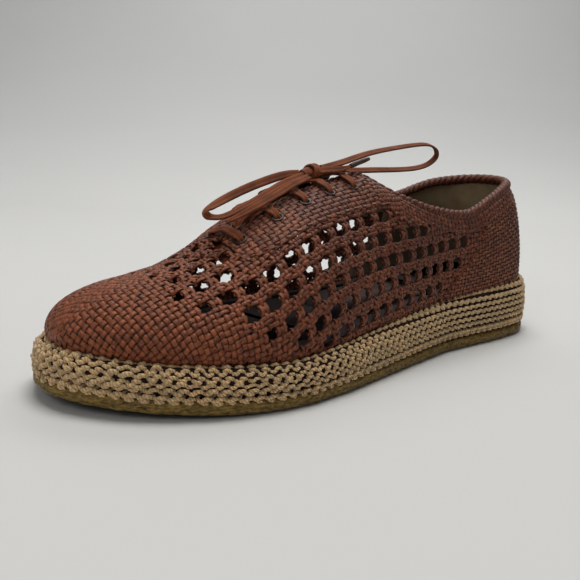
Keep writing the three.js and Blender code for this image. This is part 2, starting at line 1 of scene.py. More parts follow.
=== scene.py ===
# %% [markdown]
# # A woven leather oxford shoe
# The shoe is a left one. +X runs to the toe, +Y to the outer side and +Z up, in metres.
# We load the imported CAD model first. Everything made here is laid on the same last surface.

# %% Load the frame
import math
import bpy
import numpy as np
from mathutils import Matrix, Vector
from mathutils.bvhtree import BVHTree
from mathutils.kdtree import KDTree


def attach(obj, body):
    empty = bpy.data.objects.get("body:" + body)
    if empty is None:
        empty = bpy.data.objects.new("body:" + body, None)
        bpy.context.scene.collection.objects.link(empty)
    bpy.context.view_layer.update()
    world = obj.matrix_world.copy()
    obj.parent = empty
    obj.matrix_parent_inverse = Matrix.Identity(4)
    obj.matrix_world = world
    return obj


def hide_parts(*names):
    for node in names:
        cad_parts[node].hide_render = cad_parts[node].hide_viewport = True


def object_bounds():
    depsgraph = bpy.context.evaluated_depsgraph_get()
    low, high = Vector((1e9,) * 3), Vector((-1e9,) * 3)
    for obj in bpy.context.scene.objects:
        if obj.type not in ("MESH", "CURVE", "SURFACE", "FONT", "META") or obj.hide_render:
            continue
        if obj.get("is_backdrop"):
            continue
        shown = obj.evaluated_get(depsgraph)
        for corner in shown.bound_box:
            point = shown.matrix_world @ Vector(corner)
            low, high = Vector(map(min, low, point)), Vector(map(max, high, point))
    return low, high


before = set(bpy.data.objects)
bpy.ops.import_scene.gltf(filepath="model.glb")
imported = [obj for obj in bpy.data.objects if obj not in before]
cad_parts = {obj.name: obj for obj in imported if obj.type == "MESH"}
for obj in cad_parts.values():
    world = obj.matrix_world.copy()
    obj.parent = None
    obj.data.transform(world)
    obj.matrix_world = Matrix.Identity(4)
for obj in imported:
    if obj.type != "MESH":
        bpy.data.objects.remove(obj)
cad_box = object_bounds()
random = np.random.default_rng(7)
print("frame loaded:", len(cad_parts), "nodes")

# %% [markdown]
# ## Camera
# The camera stands near the toe on the outer side, a little above the shoe, and is rolled by a
# few degrees. Its lens follows from the perspective of the sole line in the picture.

# %% Camera
CAMERA_PLACE = (0.2836, 0.2496, 0.1017)
CAMERA_AZIMUTH = math.radians(134.68)
CAMERA_ELEVATION = math.radians(10.9)
CAMERA_ROLL = math.radians(3.2)
CAMERA_LENS = 47.83

back = Vector((
    math.sin(CAMERA_AZIMUTH) * math.cos(CAMERA_ELEVATION),
    -math.cos(CAMERA_AZIMUTH) * math.cos(CAMERA_ELEVATION),
    math.sin(CAMERA_ELEVATION),
))
right = Vector((math.cos(CAMERA_AZIMUTH), math.sin(CAMERA_AZIMUTH), 0))
above = back.cross(right)
rolled_right = right * math.cos(CAMERA_ROLL) + above * math.sin(CAMERA_ROLL)
rolled_up = above * math.cos(CAMERA_ROLL) - right * math.sin(CAMERA_ROLL)
camera = bpy.data.objects.new("camera", bpy.data.cameras.new("camera"))
bpy.context.scene.collection.objects.link(camera)
camera.matrix_world = Matrix((
    (rolled_right.x, rolled_up.x, back.x, CAMERA_PLACE[0]),
    (rolled_right.y, rolled_up.y, back.y, CAMERA_PLACE[1]),
    (rolled_right.z, rolled_up.z, back.z, CAMERA_PLACE[2]),
    (0, 0, 0, 1),
))
camera.data.sensor_width = 36
camera.data.lens = CAMERA_LENS
camera.data.clip_start = 0.01
bpy.context.scene.camera = camera
print("camera lens", CAMERA_LENS, "mm")

# %% [markdown]
# ## Helpers
# A piece is a list of points and a list of faces. A sweep carries a small section along a path,
# which is how every strip, cord, lace and stitch on this shoe is made.

# %% Mesh helpers
def unit(vectors):
    size = np.linalg.norm(vectors, axis=-1, keepdims=True)
    return vectors / np.maximum(size, 1e-12)


class Builder:
    """Collects points, quads, uv places and a tone for each point."""

    def __init__(self):
        self.points, self.faces, self.tones, self.runs = [], [], [], []
        self.count = 0

    def add(self, points, faces, tone=0.5, runs=None):
        self.points.append(points)
        self.faces.append(faces + self.count)
        self.tones.append(np.broadcast_to(tone, (len(points),)).astype(float))
        self.runs.append(np.zeros((len(points), 2)) if runs is None else runs)
        self.count += len(points)

    def piece(self, name, material, slot):
        points = np.concatenate(self.points)
        faces = np.concatenate(self.faces)
        mesh = bpy.data.meshes.new(name)
        mesh.vertices.add(len(points))
        mesh.vertices.foreach_set("co", points.astype(np.float32).ravel())
        mesh.loops.add(faces.size)
        mesh.loops.foreach_set("vertex_index", faces.astype(np.int32).ravel())
        mesh.polygons.add(len(faces))
        mesh.polygons.foreach_set("loop_start", np.arange(0, faces.size, faces.shape[1], dtype=np.int32))
        mesh.update(calc_edges=True)
        mesh.polygons.foreach_set("use_smooth", np.ones(len(faces), bool))
        tone = mesh.attributes.new("tone", "FLOAT", "POINT")
        tone.data.foreach_set("value", np.concatenate(self.tones).astype(np.float32))
        runs = np.concatenate(self.runs)
        layer = mesh.uv_layers.new(name="run")
        layer.data.foreach_set("uv", runs[faces.ravel()].astype(np.float32).ravel())
        made = bpy.data.objects.new(name, mesh)
        bpy.context.scene.collection.objects.link(made)
        mesh.materials.append(material)
        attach(made, "root")
        print(name, len(points), "points,", len(faces), "faces")
        return made


def grid_faces(rows, columns, wrap=False):
    """Quads of a grid of rows by columns; wrap joins the last column to the first."""
    across = columns if wrap else columns - 1
    i, j = np.meshgrid(np.arange(rows - 1), np.arange(across), indexing="ij")
    i, j = i.ravel(), j.ravel()
    k = (j + 1) % columns
    return np.stack([i * columns + j, i * columns + k, (i + 1) * columns + k, (i + 1) * columns + j], 1)


FLAT_SECTION = np.array([(-1, 0), (-0.7, 0.9), (0.7, 0.9), (1, 0), (0.7, -0.9), (-0.7, -0.9)])


def ring_section(sides):
    angle = np.arange(sides) / sides * 2 * math.pi
    return np.stack([np.cos(angle), np.sin(angle)], 1)


def sweep(builder, path, normals, width, thickness, section=FLAT_SECTION, tone=0.5, closed=False):
    """Carries a section along a path. Its first axis lies across, its second along the normals."""
    count, sides = len(path), len(section)
    if closed:
        tangent = unit(np.roll(path, -1, 0) - np.roll(path, 1, 0))
    else:
        tangent = unit(np.gradient(path, axis=0))
    normal = unit(normals - tangent * np.sum(normals * tangent, 1, keepdims=True))
    across = np.cross(normal, tangent)
    width = np.broadcast_to(width, (count,)) / 2
    thickness = np.broadcast_to(thickness, (count,)) / 2
    points = (
        path[:, None]
        + across[:, None] * (section[None, :, :1] * width[:, None, None])
        + normal[:, None] * (section[None, :, 1:] * thickness[:, None, None])
    )
    faces = grid_faces(count, sides, wrap=True)
    if closed:
        last = grid_faces(2, sides, wrap=True)
        last = np.where(last >= sides, last - sides, last + (count - 1) * sides)
        faces = np.concatenate([faces, last])
    else:
        ends = []
        for start, turn in ((0, 1), ((count - 1) * sides, -1)):
            for k in range(1, sides - 1, 2):
                quad = [start, start + k, start + k + 1, start + (k + 2) % sides]
                ends.append(quad[::turn])
        faces = np.concatenate([faces, np.array(ends)])
    length = np.concatenate([[0], np.cumsum(np.linalg.norm(np.diff(path, axis=0), axis=1))])
    runs = np.stack([np.repeat(length, sides), np.tile(section[:, 0], count)], 1)
    tones = np.repeat(np.broadcast_to(tone, (count,)), sides)
    builder.add(points.reshape(-1, 3), faces, tones, runs)


def smooth_path(points, per_step):
    """Catmull-Rom points between the given ones."""
    points = np.asarray(points, float)
    padded = np.concatenate([[2 * points[0] - points[1]], points, [2 * points[-1] - points[-2]]])
    before, start, end, after = padded[:-3], padded[1:-2], padded[2:-1], padded[3:]
    t = np.arange(per_step)[None, :, None] / per_step
    before, start, end, after = (a[:, None] for a in (before, start, end, after))
    curve = 0.5 * (
        2 * start
        + (end - before) * t
        + (2 * before - 5 * start + 4 * end - after) * t ** 2
        + (3 * start - before - 3 * end + after) * t ** 3
    )
    return np.concatenate([curve.reshape(-1, points.shape[1]), points[-1:]])


def path_length(points):
    return float(np.linalg.norm(np.diff(points, axis=0), axis=1).sum())


# %% [markdown]
# ## The last
# The named sizes and tables of the CAD source, in metres, give nearly the same surface here: only
# the four rows nearest the heel are flatter. Station 0 is the toe and 1 the heel, rise 0 is the
# seam at the sole and 1 the upper edge.

# %% Last sizes and tables
SOLE_LENGTH = 0.302
BALL_LATERAL, BALL_MEDIAL, HEEL_HALF = 0.0532, 0.0526, 0.0396
TOE_SWING, TOE_SPRING = 0.005, 0.0045
OUTSOLE_THICKNESS, HEEL_STACK, BALL_STACK = 0.006, 0.033, 0.0175
MIDSOLE_BULGE, MIDSOLE_ROUND, FEATHER_INSET, LAYER_GAP = 0.0004, 0.0034, 0.0047, 0.0003
WALL = 0.002
TOE_HEIGHT, INSTEP_HEIGHT, ANKLE_HEIGHT, HEEL_HEIGHT = 0.044, 0.087, 0.0692, 0.0854
COLLAR_HALF, THROAT_HALF, CREST_SHIFT, SIDE_BULGE = 0.0305, 0.0064, 0.0065, 0.0024
THROAT_FRONT = 0.785

SOLE_ROWS = (  # along, lateral, medial
    (0, 0, 0), (0.015, 0.36, 0.36), (0.05, 0.72, 0.72), (0.1, 0.93, 0.93), (0.18, 1, 1),
    (0.3, 0.98, 0.92), (0.42, 0.967, 0.817), (0.55, 0.97, 0.857), (0.65, 0.975, 0.926), (0.74, 1, 1),
    (0.83, 0.906, 0.967), (0.9, 0.733, 0.836), (0.95, 0.531, 0.648), (0.985, 0.283, 0.356), (1, 0, 0),
)
TOP_NAMES = (
    "foot", "head", "instep", "ankle", "heel", "gap", "collar", "shift", "lateral", "medial", "bulge",
)
TOP_ROWS = (
    (1, 0.905, 0, 0, 0, 0, 0, -0.46, 2.3, 2.3, 0.83),
    (0.985, 0.897, 0.014, 0, 0, 0, 0, -0.38, 2.3, 2.2, 0.83),
    (0.95, 0.875, 0.047, 0, 0, 0, 0, -0.15, 2.3, 2.1, 0.92),
    (0.9, 0.84, 0.107, 0, 0, 0, 0, 0.23, 2.25, 1.9, 1),
    (0.84, 0.8, 0.21, 0, 0, 0, 0, 0.62, 2.15, 1.7, 1),
    (0.785, 0.762, 0.37, 0, 0, 0, 0, 0.9, 2, 1.6, 0.92),
    (0.735, 0.715, 0.58, 0, 0, 0.72, 0, 1, 1.9, 1.5, 0.83),
    (0.68, 0.67, 0.74, 0, 0, 0.81, 0, 0.92, 1.8, 1.5, 0.83),
    (0.6, 0.6, 0.884, 0, 0, 0.88, 0, 0.77, 1.75, 1.6, 0.83),
    (0.535, 0.54, 0.967, 0, 0, 1, 0, 0.62, 1.75, 1.7, 0.83),
    (0.5, 0.508, 1, 0, 0, 0, 0.33, 0.46, 1.8, 1.8, 0.83),
    (0.475, 0.482, 0.665, 0.335, 0, 0, 0.68, 0.31, 1.9, 1.9, 0.83),
    (0.43, 0.435, 0.36, 0.64, 0, 0, 0.89, 0.08, 1.95, 1.95, 0.83),
    (0.36, 0.365, 0, 0.9, 0.1, 0, 0.99, 0, 2, 2, 0.83),
    (0.28, 0.285, 0, 1, 0, 0, 1, 0, 2, 2, 0.83),
    (0.2, 0.212, 0, 0.654, 0.346, 0, 0.93, 0, 2, 2, 0.83),
    (0.12, 0.142, 0, 0.272, 0.728, 0, 0.8, 0, 1.8, 1.8, 0.4),
    (0.06, 0.094, 0, 0.117, 0.883, 0, 0.607, 0, 1.65, 1.65, 0),
    (0.02, 0.065, 0, 0.037, 0.963, 0, 0.354, 0, 1.5, 1.5, -0.3),
    (0, 0.057, 0, 0, 1, 0, 0, 0, 1.5, 1.5, -0.3),
)


def station_of(along):
    return np.arccos(np.clip(2 * np.asarray(along, float) - 1, -1, 1)) / math.pi


def along_of(station):
    return (1 + np.cos(math.pi * station)) / 2


def make_curve(stations, values):
    """Smooth curve through uneven rows."""
    order = np.argsort(stations)
    xs, ys = np.asarray(stations)[order], np.asarray(values, float)[order]
    steps = np.diff(xs)
    rises = np.diff(ys) / steps
    inner = (rises[:-1] * steps[1:] + rises[1:] * steps[:-1]) / (steps[1:] + steps[:-1])
    slopes = np.concatenate([rises[:1], inner, rises[-1:]])

    def curve(x):
        x = np.asarray(x, float)
        k = np.clip(np.searchsorted(xs, x, side="left") - 1, 0, len(xs) - 2)
        t = (x - xs[k]) / steps[k]
        return (
            (2 * t ** 3 - 3 * t ** 2 + 1) * ys[k]
            + (t ** 3 - 2 * t ** 2 + t) * steps[k] * slopes[k]
            + (-2 * t ** 3 + 3 * t ** 2) * ys[k + 1]
            + (t ** 3 - t ** 2) * steps[k] * slopes[k + 1]
        )

    return curve


sole_stations = station_of([row[0] for row in SOLE_ROWS])
sole_lateral = make_curve(sole_stations, [row[1] for row in SOLE_ROWS])
sole_medial = make_curve(sole_stations, [row[2] for row in SOLE_ROWS])
top_stations = station_of([row[0] for row in TOP_ROWS])
top = {name: make_curve(top_stations, [row[k] for row in TOP_ROWS]) for k, name in enumerate(TOP_NAMES)}
throat_station = float(station_of(THROAT_FRONT))
print("throat starts at station", round(throat_station, 3))

# %% [markdown]
# The tables give the sole's outline, the seam's height and the upper edge. A place on the last lies
# between seam and edge, and its normal stands square to the surface there.

# %% Last surface
def edge_point(station, side):
    along = along_of(station)
    forepart = np.clip((along - 0.35) / 0.3, 0, 1)
    ball = np.where(side > 0, BALL_LATERAL, BALL_MEDIAL)
    share = np.where(side > 0, sole_lateral(station), sole_medial(station))
    half = share * (HEEL_HALF + (ball - HEEL_HALF) * forepart)
    swing = TOE_SWING * np.clip((along - 0.8) / 0.2, 0, 1) ** 2
    return np.stack([(along - 0.5) * SOLE_LENGTH, side * half - swing], -1)


def edge_normal(station, side):
    step = 0.002
    station, side = np.broadcast_arrays(np.asarray(station, float), np.asarray(side, float))
    low, high = station - step, station + step
    before = edge_point(np.abs(low), np.where(low < 0, -side, side))
    after = edge_point(np.where(high > 1, 2 - high, high), np.where(high > 1, -side, side))
    run = unit(after - before)
    return np.stack([side * run[..., 1], -side * run[..., 0]], -1)


def inset_point(station, side, inset):
    return edge_point(station, side) - edge_normal(station, side) * np.asarray(inset)[..., None]


def spring_at(x):
    return TOE_SPRING * np.clip((x / SOLE_LENGTH + 0.5 - 0.7) / 0.3, 0, 1) ** 2


def feather_at(x):
    share = np.clip((x / SOLE_LENGTH + 0.5) / 0.75, 0, 1)
    return HEEL_STACK + (BALL_STACK - HEEL_STACK) * share + spring_at(x)


def top_point(station, side):
    opened = station > throat_station + 1e-6
    half = top["gap"](station) * THROAT_HALF + top["collar"](station) * COLLAR_HALF
    half = np.where(opened & (station < 1), np.maximum(0, half), 0)
    instep, ankle, heel = top["instep"](station), top["ankle"](station), top["heel"](station)
    z = TOE_HEIGHT * (1 - instep - ankle - heel) + INSTEP_HEIGHT * instep
    z = z + ANKLE_HEIGHT * ankle + HEEL_HEIGHT * heel
    x = (top["head"](station) - 0.5) * SOLE_LENGTH
    return np.stack([x, top["shift"](station) * CREST_SHIFT + side * half, z], -1)


def surface_point(station, rise, side):
    station, rise, side = np.broadcast_arrays(
        np.asarray(station, float), np.asarray(rise, float), np.asarray(side, float))
    foot = inset_point(station, side, np.full(station.shape, FEATHER_INSET))
    normal = edge_normal(station, side)
    foot_z = feather_at(foot[..., 0])
    head = top_point(station, side)
    power = 2 / np.where(side > 0, top["lateral"](station), top["medial"](station))
    angle = np.clip(rise, 0, 1) * math.pi / 2
    across = 1 - np.maximum(0, np.cos(angle)) ** power
    up = np.maximum(0, np.sin(angle)) ** power
    vamp = np.clip((along_of(station) - 0.6) / 0.15, 0, 1)
    first = top_point(np.maximum(0, station - 0.01), 1)
    second = top_point(station + 0.01, 1)
    slope = (second[..., 2] - first[..., 2]) / (second[..., 0] - first[..., 0])
    lean = (foot[..., 0] - head[..., 0]) * -slope * vamp
    out = np.sin(math.pi * np.clip(rise, 0, 1) ** 0.62) * top["bulge"](station) * SIDE_BULGE
    return np.stack([
        foot[..., 0] + (head[..., 0] - foot[..., 0]) * across + normal[..., 0] * out,
        foot[..., 1] + (head[..., 1] - foot[..., 1]) * across + normal[..., 1] * out,
        foot_z + (head[..., 2] - foot_z - lean) * up + lean * across,
    ], -1)


def mirrored_point(station, rise, side):
    station, rise, side = np.broadcast_arrays(
        np.asarray(station, float), np.asarray(rise, float), np.asarray(side, float))
    side = np.where((station < 0) | (station > 1), -side, side)
    station = np.abs(station)
    station = np.where(station > 1, 2 - station, station)
    over = (rise > 1) & (station <= throat_station + 1e-6)
    side = np.where(over, -side, side)
    rise = np.where(over, 2 - rise, rise)
    return surface_point(station, np.maximum(0, rise), side)


def side_normal(station, rise, side):
    step = 0.01
    along = mirrored_point(station + step, rise, side) - mirrored_point(station - step, rise, side)
    upper = mirrored_point(station, rise + step, side) - mirrored_point(station, rise - step, side)
    return unit(np.cross(along, upper)) * np.asarray(side)[..., None]


def surface_normal(station, rise, side):
    station, rise, side = np.broadcast_arrays(
        np.asarray(station, float), np.asarray(rise, float), np.asarray(side, float))
    own = side_normal(station, rise, side)
    shared = (rise >= 1) & (station <= throat_station + 1e-6)
    outer = side_normal(station, rise, np.ones_like(side))
    inner = side_normal(station, rise, -np.ones_like(side))
    return np.where(shared[..., None], unit(outer + inner), own)


probe = surface_point(np.array([0.3, 0.6]), np.array([0.5, 0.5]), np.array([1.0, 1.0]))
print("points on the last", np.round(probe, 4).tolist())

# %% [markdown]
# ## Materials
# Every finish is built from noise, cells and waves. Each strip, stitch and cord also carries a tone, so
# neighbours differ a little, as dyed leather and yarn do. The tone also holds painted shade where a strip
# dips under a crossing, and painted light and shade on each stitch of the knit.

# %% Material helpers
class Paint:
    """One procedural material and short names for the nodes that make it."""

    def __init__(self, name, roughness=0.6, specular=0.5, metallic=0.0, sheen=0.0):
        self.material = bpy.data.materials.new(name)
        self.material.use_nodes = True
        self.tree = self.material.node_tree
        self.shader = self.tree.nodes["Principled BSDF"]
        self.shader.inputs["Roughness"].default_value = roughness
        self.shader.inputs["Specular IOR Level"].default_value = specular
        self.shader.inputs["Metallic"].default_value = metallic
        self.shader.inputs["Sheen Weight"].default_value = sheen
        self.place = self.node("ShaderNodeTexCoord").outputs["Object"]

    def node(self, kind, inputs=None, **settings):
        made = self.tree.nodes.new(kind)
        for key, value in settings.items():
            setattr(made, key, value)
        for key, value in (inputs or {}).items():
            if isinstance(value, bpy.types.NodeSocket):
                self.tree.links.new(value, made.inputs[key])
            else:
                made.inputs[key].default_value = value
        return made

    def math(self, operation, first, second=0.0):
        return self.node("ShaderNodeMath", {0: first, 1: second}, operation=operation).outputs[0]

    def span(self, value, low, high, to_low=0.0, to_high=1.0):
        places = {0: value, 1: low, 2: high, 3: to_low, 4: to_high}
        return self.node("ShaderNodeMapRange", places).outputs[0]

    def noise(self, scale, detail=3.0, vector=None):
        found = {"Vector": vector or self.place, "Scale": scale, "Detail": detail}
        return self.node("ShaderNodeTexNoise", found).outputs["Fac"]

    def cells(self, scale, vector=None):
        found = {"Vector": vector or self.place, "Scale": scale}
        return self.node("ShaderNodeTexVoronoi", found).outputs["Distance"]

    def mix(self, share, first, second):
        return self.node("ShaderNodeMix", {0: share, 6: first, 7: second}, data_type="RGBA").outputs[2]

    def tone(self):
        return self.node("ShaderNodeAttribute", attribute_name="tone").outputs["Fac"]

    def axes(self, vector=None):
        return self.node("ShaderNodeSeparateXYZ", {0: vector or self.place}).outputs

    def run(self):
        return self.axes(self.node("ShaderNodeUVMap", uv_map="run").outputs[0])

    def bump(self, height, distance, strength=1.0, below=None):
        found = {"Height": height, "Distance": distance, "Strength": strength}
        if below is not None:
            found["Normal"] = below
        return self.node("ShaderNodeBump", found).outputs[0]

    def finish(self, color=None, roughness=None, normal=None):
        for key, value in (("Base Color", color), ("Roughness", roughness), ("Normal", normal)):
            if value is not None:
                self.tree.links.new(value, self.shader.inputs[key])
        return self.material


# %% [markdown]
# The leather runs from red to a warmer tone towards the toe and the sole. Dark patches lie on it, pale spots
# on it are painted highlights, the sides of each strip are darker as painted shade, and creases and grain
# roughen it.

# %% Leather
LEATHER_DARK = (0.012, 0.0032, 0.0020, 1)
LEATHER_RED = (0.108, 0.0215, 0.0100, 1)
LEATHER_WARM = (0.290, 0.0750, 0.0270, 1)
LEATHER_PAINTED_HIGHLIGHT = (0.420, 0.1900, 0.1100, 1)


def leather_material(name, lighter=0.0, highlight_spots=0.22):
    paint = Paint(name, specular=0.45)
    paint.shader.inputs["Specular Tint"].default_value = (1.0, 0.74, 0.62, 1)
    axes = paint.axes()
    toe = paint.span(axes["X"], 0.03, 0.12)
    low = paint.span(axes["Z"], 0.075, 0.03)
    warm = paint.math("MULTIPLY", paint.math("MAXIMUM", toe, paint.math("MULTIPLY", low, 0.5)), 0.75)
    # The tone is random per strip and square, and also carries painted shade where strips dip under a
    # crossing.
    warm = paint.math("ADD", warm, paint.span(paint.tone(), 0, 1, -0.34 + lighter, 0.42 + lighter))
    warm = paint.math("ADD", warm, paint.span(paint.noise(60), 0.3, 0.7, -0.18, 0.18))
    color = paint.mix(paint.span(warm, 0.0, 1.0), LEATHER_RED, LEATHER_WARM)
    patches = paint.span(paint.noise(420, 4), 0.42, 0.66, 0, 0.6)
    color = paint.mix(patches, color, LEATHER_DARK)
    # Painted highlight: pale spots scattered over the leather stand in for small highlights.
    color = paint.mix(paint.span(paint.noise(1000, 2), 0.5, 0.64, 0, highlight_spots), color, LEATHER_PAINTED_HIGHLIGHT)
    # Painted shade: each strip is darkened towards its sides, where the gaps between strips lie.
    side = paint.span(paint.math("ABSOLUTE", paint.run()["Y"]), 0.5, 1.0, 0, 1.0)
    color = paint.mix(side, color, LEATHER_DARK)
    grain = paint.cells(3200)
    creases = paint.noise(1500, 5)
    normal = paint.bump(creases, 0.0004, 0.9)
    normal = paint.bump(grain, 0.00006, 0.6, normal)
    roughness = paint.span(paint.noise(700), 0.3, 0.7, 0.36, 0.6)
    return paint.finish(color, roughness, normal)


woven_leather = leather_material("woven_leather")
tongue_leather = leather_material("tongue_leather", 0.15)
counter_leather = leather_material("counter_leather", 0.05, 0.6)

# %% [markdown]
# The backing is near black, painted shade for the gaps of the close weave and for the inside of the shoe. The
# lining is tan with small dark dots, and downwards it darkens, painted shade inside the shoe.

# %% Backing and lining
paint = Paint("backing_painted_shade", specular=0.3)
# Painted shade: near black, so the gaps of the weave and the inside of the shoe read dark.
backing_shade_color = paint.mix(paint.noise(300), (0.02, 0.009, 0.007, 1), (0.045, 0.018, 0.013, 1))
backing_painted_shade = paint.finish(backing_shade_color, paint.span(paint.noise(500), 0, 1, 0.6, 0.9),
                               paint.bump(paint.noise(1200), 0.0002))

paint = Paint("lining_leather", specular=0.35, sheen=0.1)
lining_cloud = paint.span(paint.noise(90, 5), 0.35, 0.7)
lining_color = paint.mix(lining_cloud, (0.46, 0.35, 0.20, 1), (0.33, 0.22, 0.12, 1))
lining_color = paint.mix(paint.span(paint.cells(2600), 0, 0.6, 0.3, 0), lining_color, (0.1, 0.06, 0.035, 1))
# Painted shade: the lining darkens below the collar, inside the shoe.
lining_lower_shade = paint.span(paint.axes()["Z"], 0.054, 0.072, 0.8, 0)
lining_color = paint.mix(lining_lower_shade, lining_color, (0.03, 0.015, 0.009, 1))
lining_leather = paint.finish(lining_color, paint.span(paint.noise(400), 0, 1, 0.5, 0.8),
                              paint.bump(paint.cells(2600), 0.0001, 0.8))

# %% [markdown]
# The yarn is lighter where a stitch stands out and darker where it turns in, painted light and shade, and the
# grooves of its twist and the hollows of its fuzz are darkened as painted shade. The ground under the knit is
# nearly black, painted shade between the stitches.

# %% Midsole yarn
YARN_LIGHT = (0.98, 0.64, 0.29, 1)
YARN_MID = (0.27, 0.135, 0.052, 1)
YARN_DARK = (0.060, 0.026, 0.018, 1)


def yarn_material(name):
    paint = Paint(name, roughness=0.9, specular=0.15, sheen=0.35)
    paint.shader.inputs["Sheen Roughness"].default_value = 0.6
    run = paint.run()
    twist = paint.math("ADD", paint.math("MULTIPLY", run["X"], 5200.0), paint.math("MULTIPLY", run["Y"], 3.2))
    ply = paint.math("SINE", twist)
    fuzz = paint.noise(2600, 4)
    # Painted light and shade: the tone lightens the yarn where a stitch bows out.
    color = paint.mix(paint.span(paint.tone(), 0, 1), YARN_MID, YARN_LIGHT)
    # Painted shade: the grooves of the twist and the hollows of the fuzz are darkened.
    color = paint.mix(paint.span(ply, -1, 0.2, 0.5, 0), color, YARN_DARK)
    color = paint.mix(paint.span(fuzz, 0.42, 0.62, 0.35, 0), color, YARN_DARK)
    color = paint.mix(paint.span(paint.noise(45, 2), 0.35, 0.65, 0, 0.3), color, (0.40, 0.32, 0.16, 1))
    normal = paint.bump(ply, 0.00016, 0.8)
    normal = paint.bump(fuzz, 0.00025, 0.9, normal)
    return paint.finish(color, None, normal)


midsole_yarn = yarn_material("midsole_yarn")
# Painted shade: near black, so the midsole seen between the stitches reads as their shade.
paint = Paint("midsole_painted_shade", roughness=0.95, specular=0.1)
midsole_shade_color = paint.mix(paint.noise(900, 4), (0.012, 0.006, 0.005, 1), (0.035, 0.018, 0.012, 1))
midsole_painted_shade = paint.finish(midsole_shade_color, None, paint.bump(paint.noise(1500, 4), 0.0005))

# %% [markdown]
# A noise that is flattened in height gives the crinkles of crepe rubber and darkens their hollows as painted
# shade, cells give small dark pits, and the lower edge is darker, painted shade where the sole meets the
# floor.

# %% Crepe
paint = Paint("crepe_rubber", specular=0.4)
stretched = paint.node("ShaderNodeMapping", {"Vector": paint.place, "Scale": (1, 1, 2.4)}).outputs[0]
crinkle = paint.noise(420, 6, stretched)
pits = paint.cells(520, stretched)
# Painted shade: the crepe is darker in the hollows of its crinkles.
crepe_color = paint.mix(paint.span(crinkle, 0.3, 0.7), (0.050, 0.030, 0.006, 1), (0.31, 0.190, 0.035, 1))
crepe_color = paint.mix(paint.span(pits, 0.0, 0.35, 0.4, 0), crepe_color, (0.07, 0.045, 0.018, 1))
# Painted shade: the crepe darkens towards the floor.
crepe_bottom_shade = paint.span(paint.axes()["Z"], 0.0, 0.0035, 0.55, 0)
crepe_color = paint.mix(crepe_bottom_shade, crepe_color, (0.06, 0.042, 0.02, 1))
crepe_normal = paint.bump(crinkle, 0.0013, 0.9)
crepe_rubber = paint.finish(crepe_color, paint.span(crinkle, 0.3, 0.7, 0.75, 0.5), crepe_normal)

# %% [markdown]
# One wave along the lace times one across it gives the cloth, darker in its low parts as painted shade. The
# lace is darker in patches, and painted shade darkens the groove along its middle and its edges.

# %% Lace cloth
paint = Paint("lace_cloth", roughness=0.7, specular=0.2, sheen=0.03)
run = paint.run()
lengthwise = paint.math("SINE", paint.math("MULTIPLY", run["X"], 9500.0))
crosswise = paint.math("SINE", paint.math("MULTIPLY", run["Y"], 15.0))
cloth = paint.math("MULTIPLY", lengthwise, crosswise)
# Painted light and shade: the cloth is lighter on the ridges of its weave and darker in the low parts.
lace_color = paint.mix(paint.span(cloth, -1, 1), (0.150, 0.036, 0.0110, 1), (0.350, 0.098, 0.0290, 1))
lace_patches = paint.span(paint.noise(140, 4), 0.4, 0.7, 0, 0.6)
lace_color = paint.mix(lace_patches, lace_color, (0.055, 0.015, 0.008, 1))
# Painted shade: the edges and the middle groove of the lace are darkened.
off_middle = paint.math("ABSOLUTE", run["Y"])
lace_color = paint.mix(paint.span(off_middle, 0.75, 1.0, 0, 0.5), lace_color, (0.045, 0.014, 0.008, 1))
lace_color = paint.mix(paint.span(off_middle, 0.3, 0.0, 0, 0.6), lace_color, (0.05, 0.015, 0.008, 1))
lace_cloth = paint.finish(lace_color, None, paint.bump(cloth, 0.00012, 0.8))

# %% [markdown]
# The eyelets are dark metal, and the lace's tip is wound and hardened; the grooves of its winding are painted
# darker as shade.

# %% Metal and tips
paint = Paint("dark_metal", specular=0.5, metallic=0.9)
metal_color = paint.mix(paint.noise(800), (0.025, 0.023, 0.024, 1), (0.08, 0.072, 0.07, 1))
dark_metal = paint.finish(metal_color, paint.span(paint.noise(1600), 0.3, 0.7, 0.25, 0.45))
paint = Paint("dark_tip", specular=0.4)
run = paint.run()
wound = paint.math("SINE", paint.math("ADD", paint.math("MULTIPLY", run["X"], 5200.0), run["Y"]))
# Painted shade: the tip is darker in the grooves of its winding.
tip_color = paint.mix(paint.span(wound, -1, 1), (0.028, 0.014, 0.010, 1), (0.10, 0.045, 0.028, 1))
dark_tip = paint.finish(tip_color, paint.span(wound, -1, 1, 0.6, 0.4), paint.bump(wound, 0.00025))
print("materials made:", len(bpy.data.materials))

# %% [markdown]
# ## The bow
# The bow is a flat cloth lace, so each part is a flat ribbon along its own route. The routes
# are the ones of the CAD source: they start at the knot and lie over the instep.

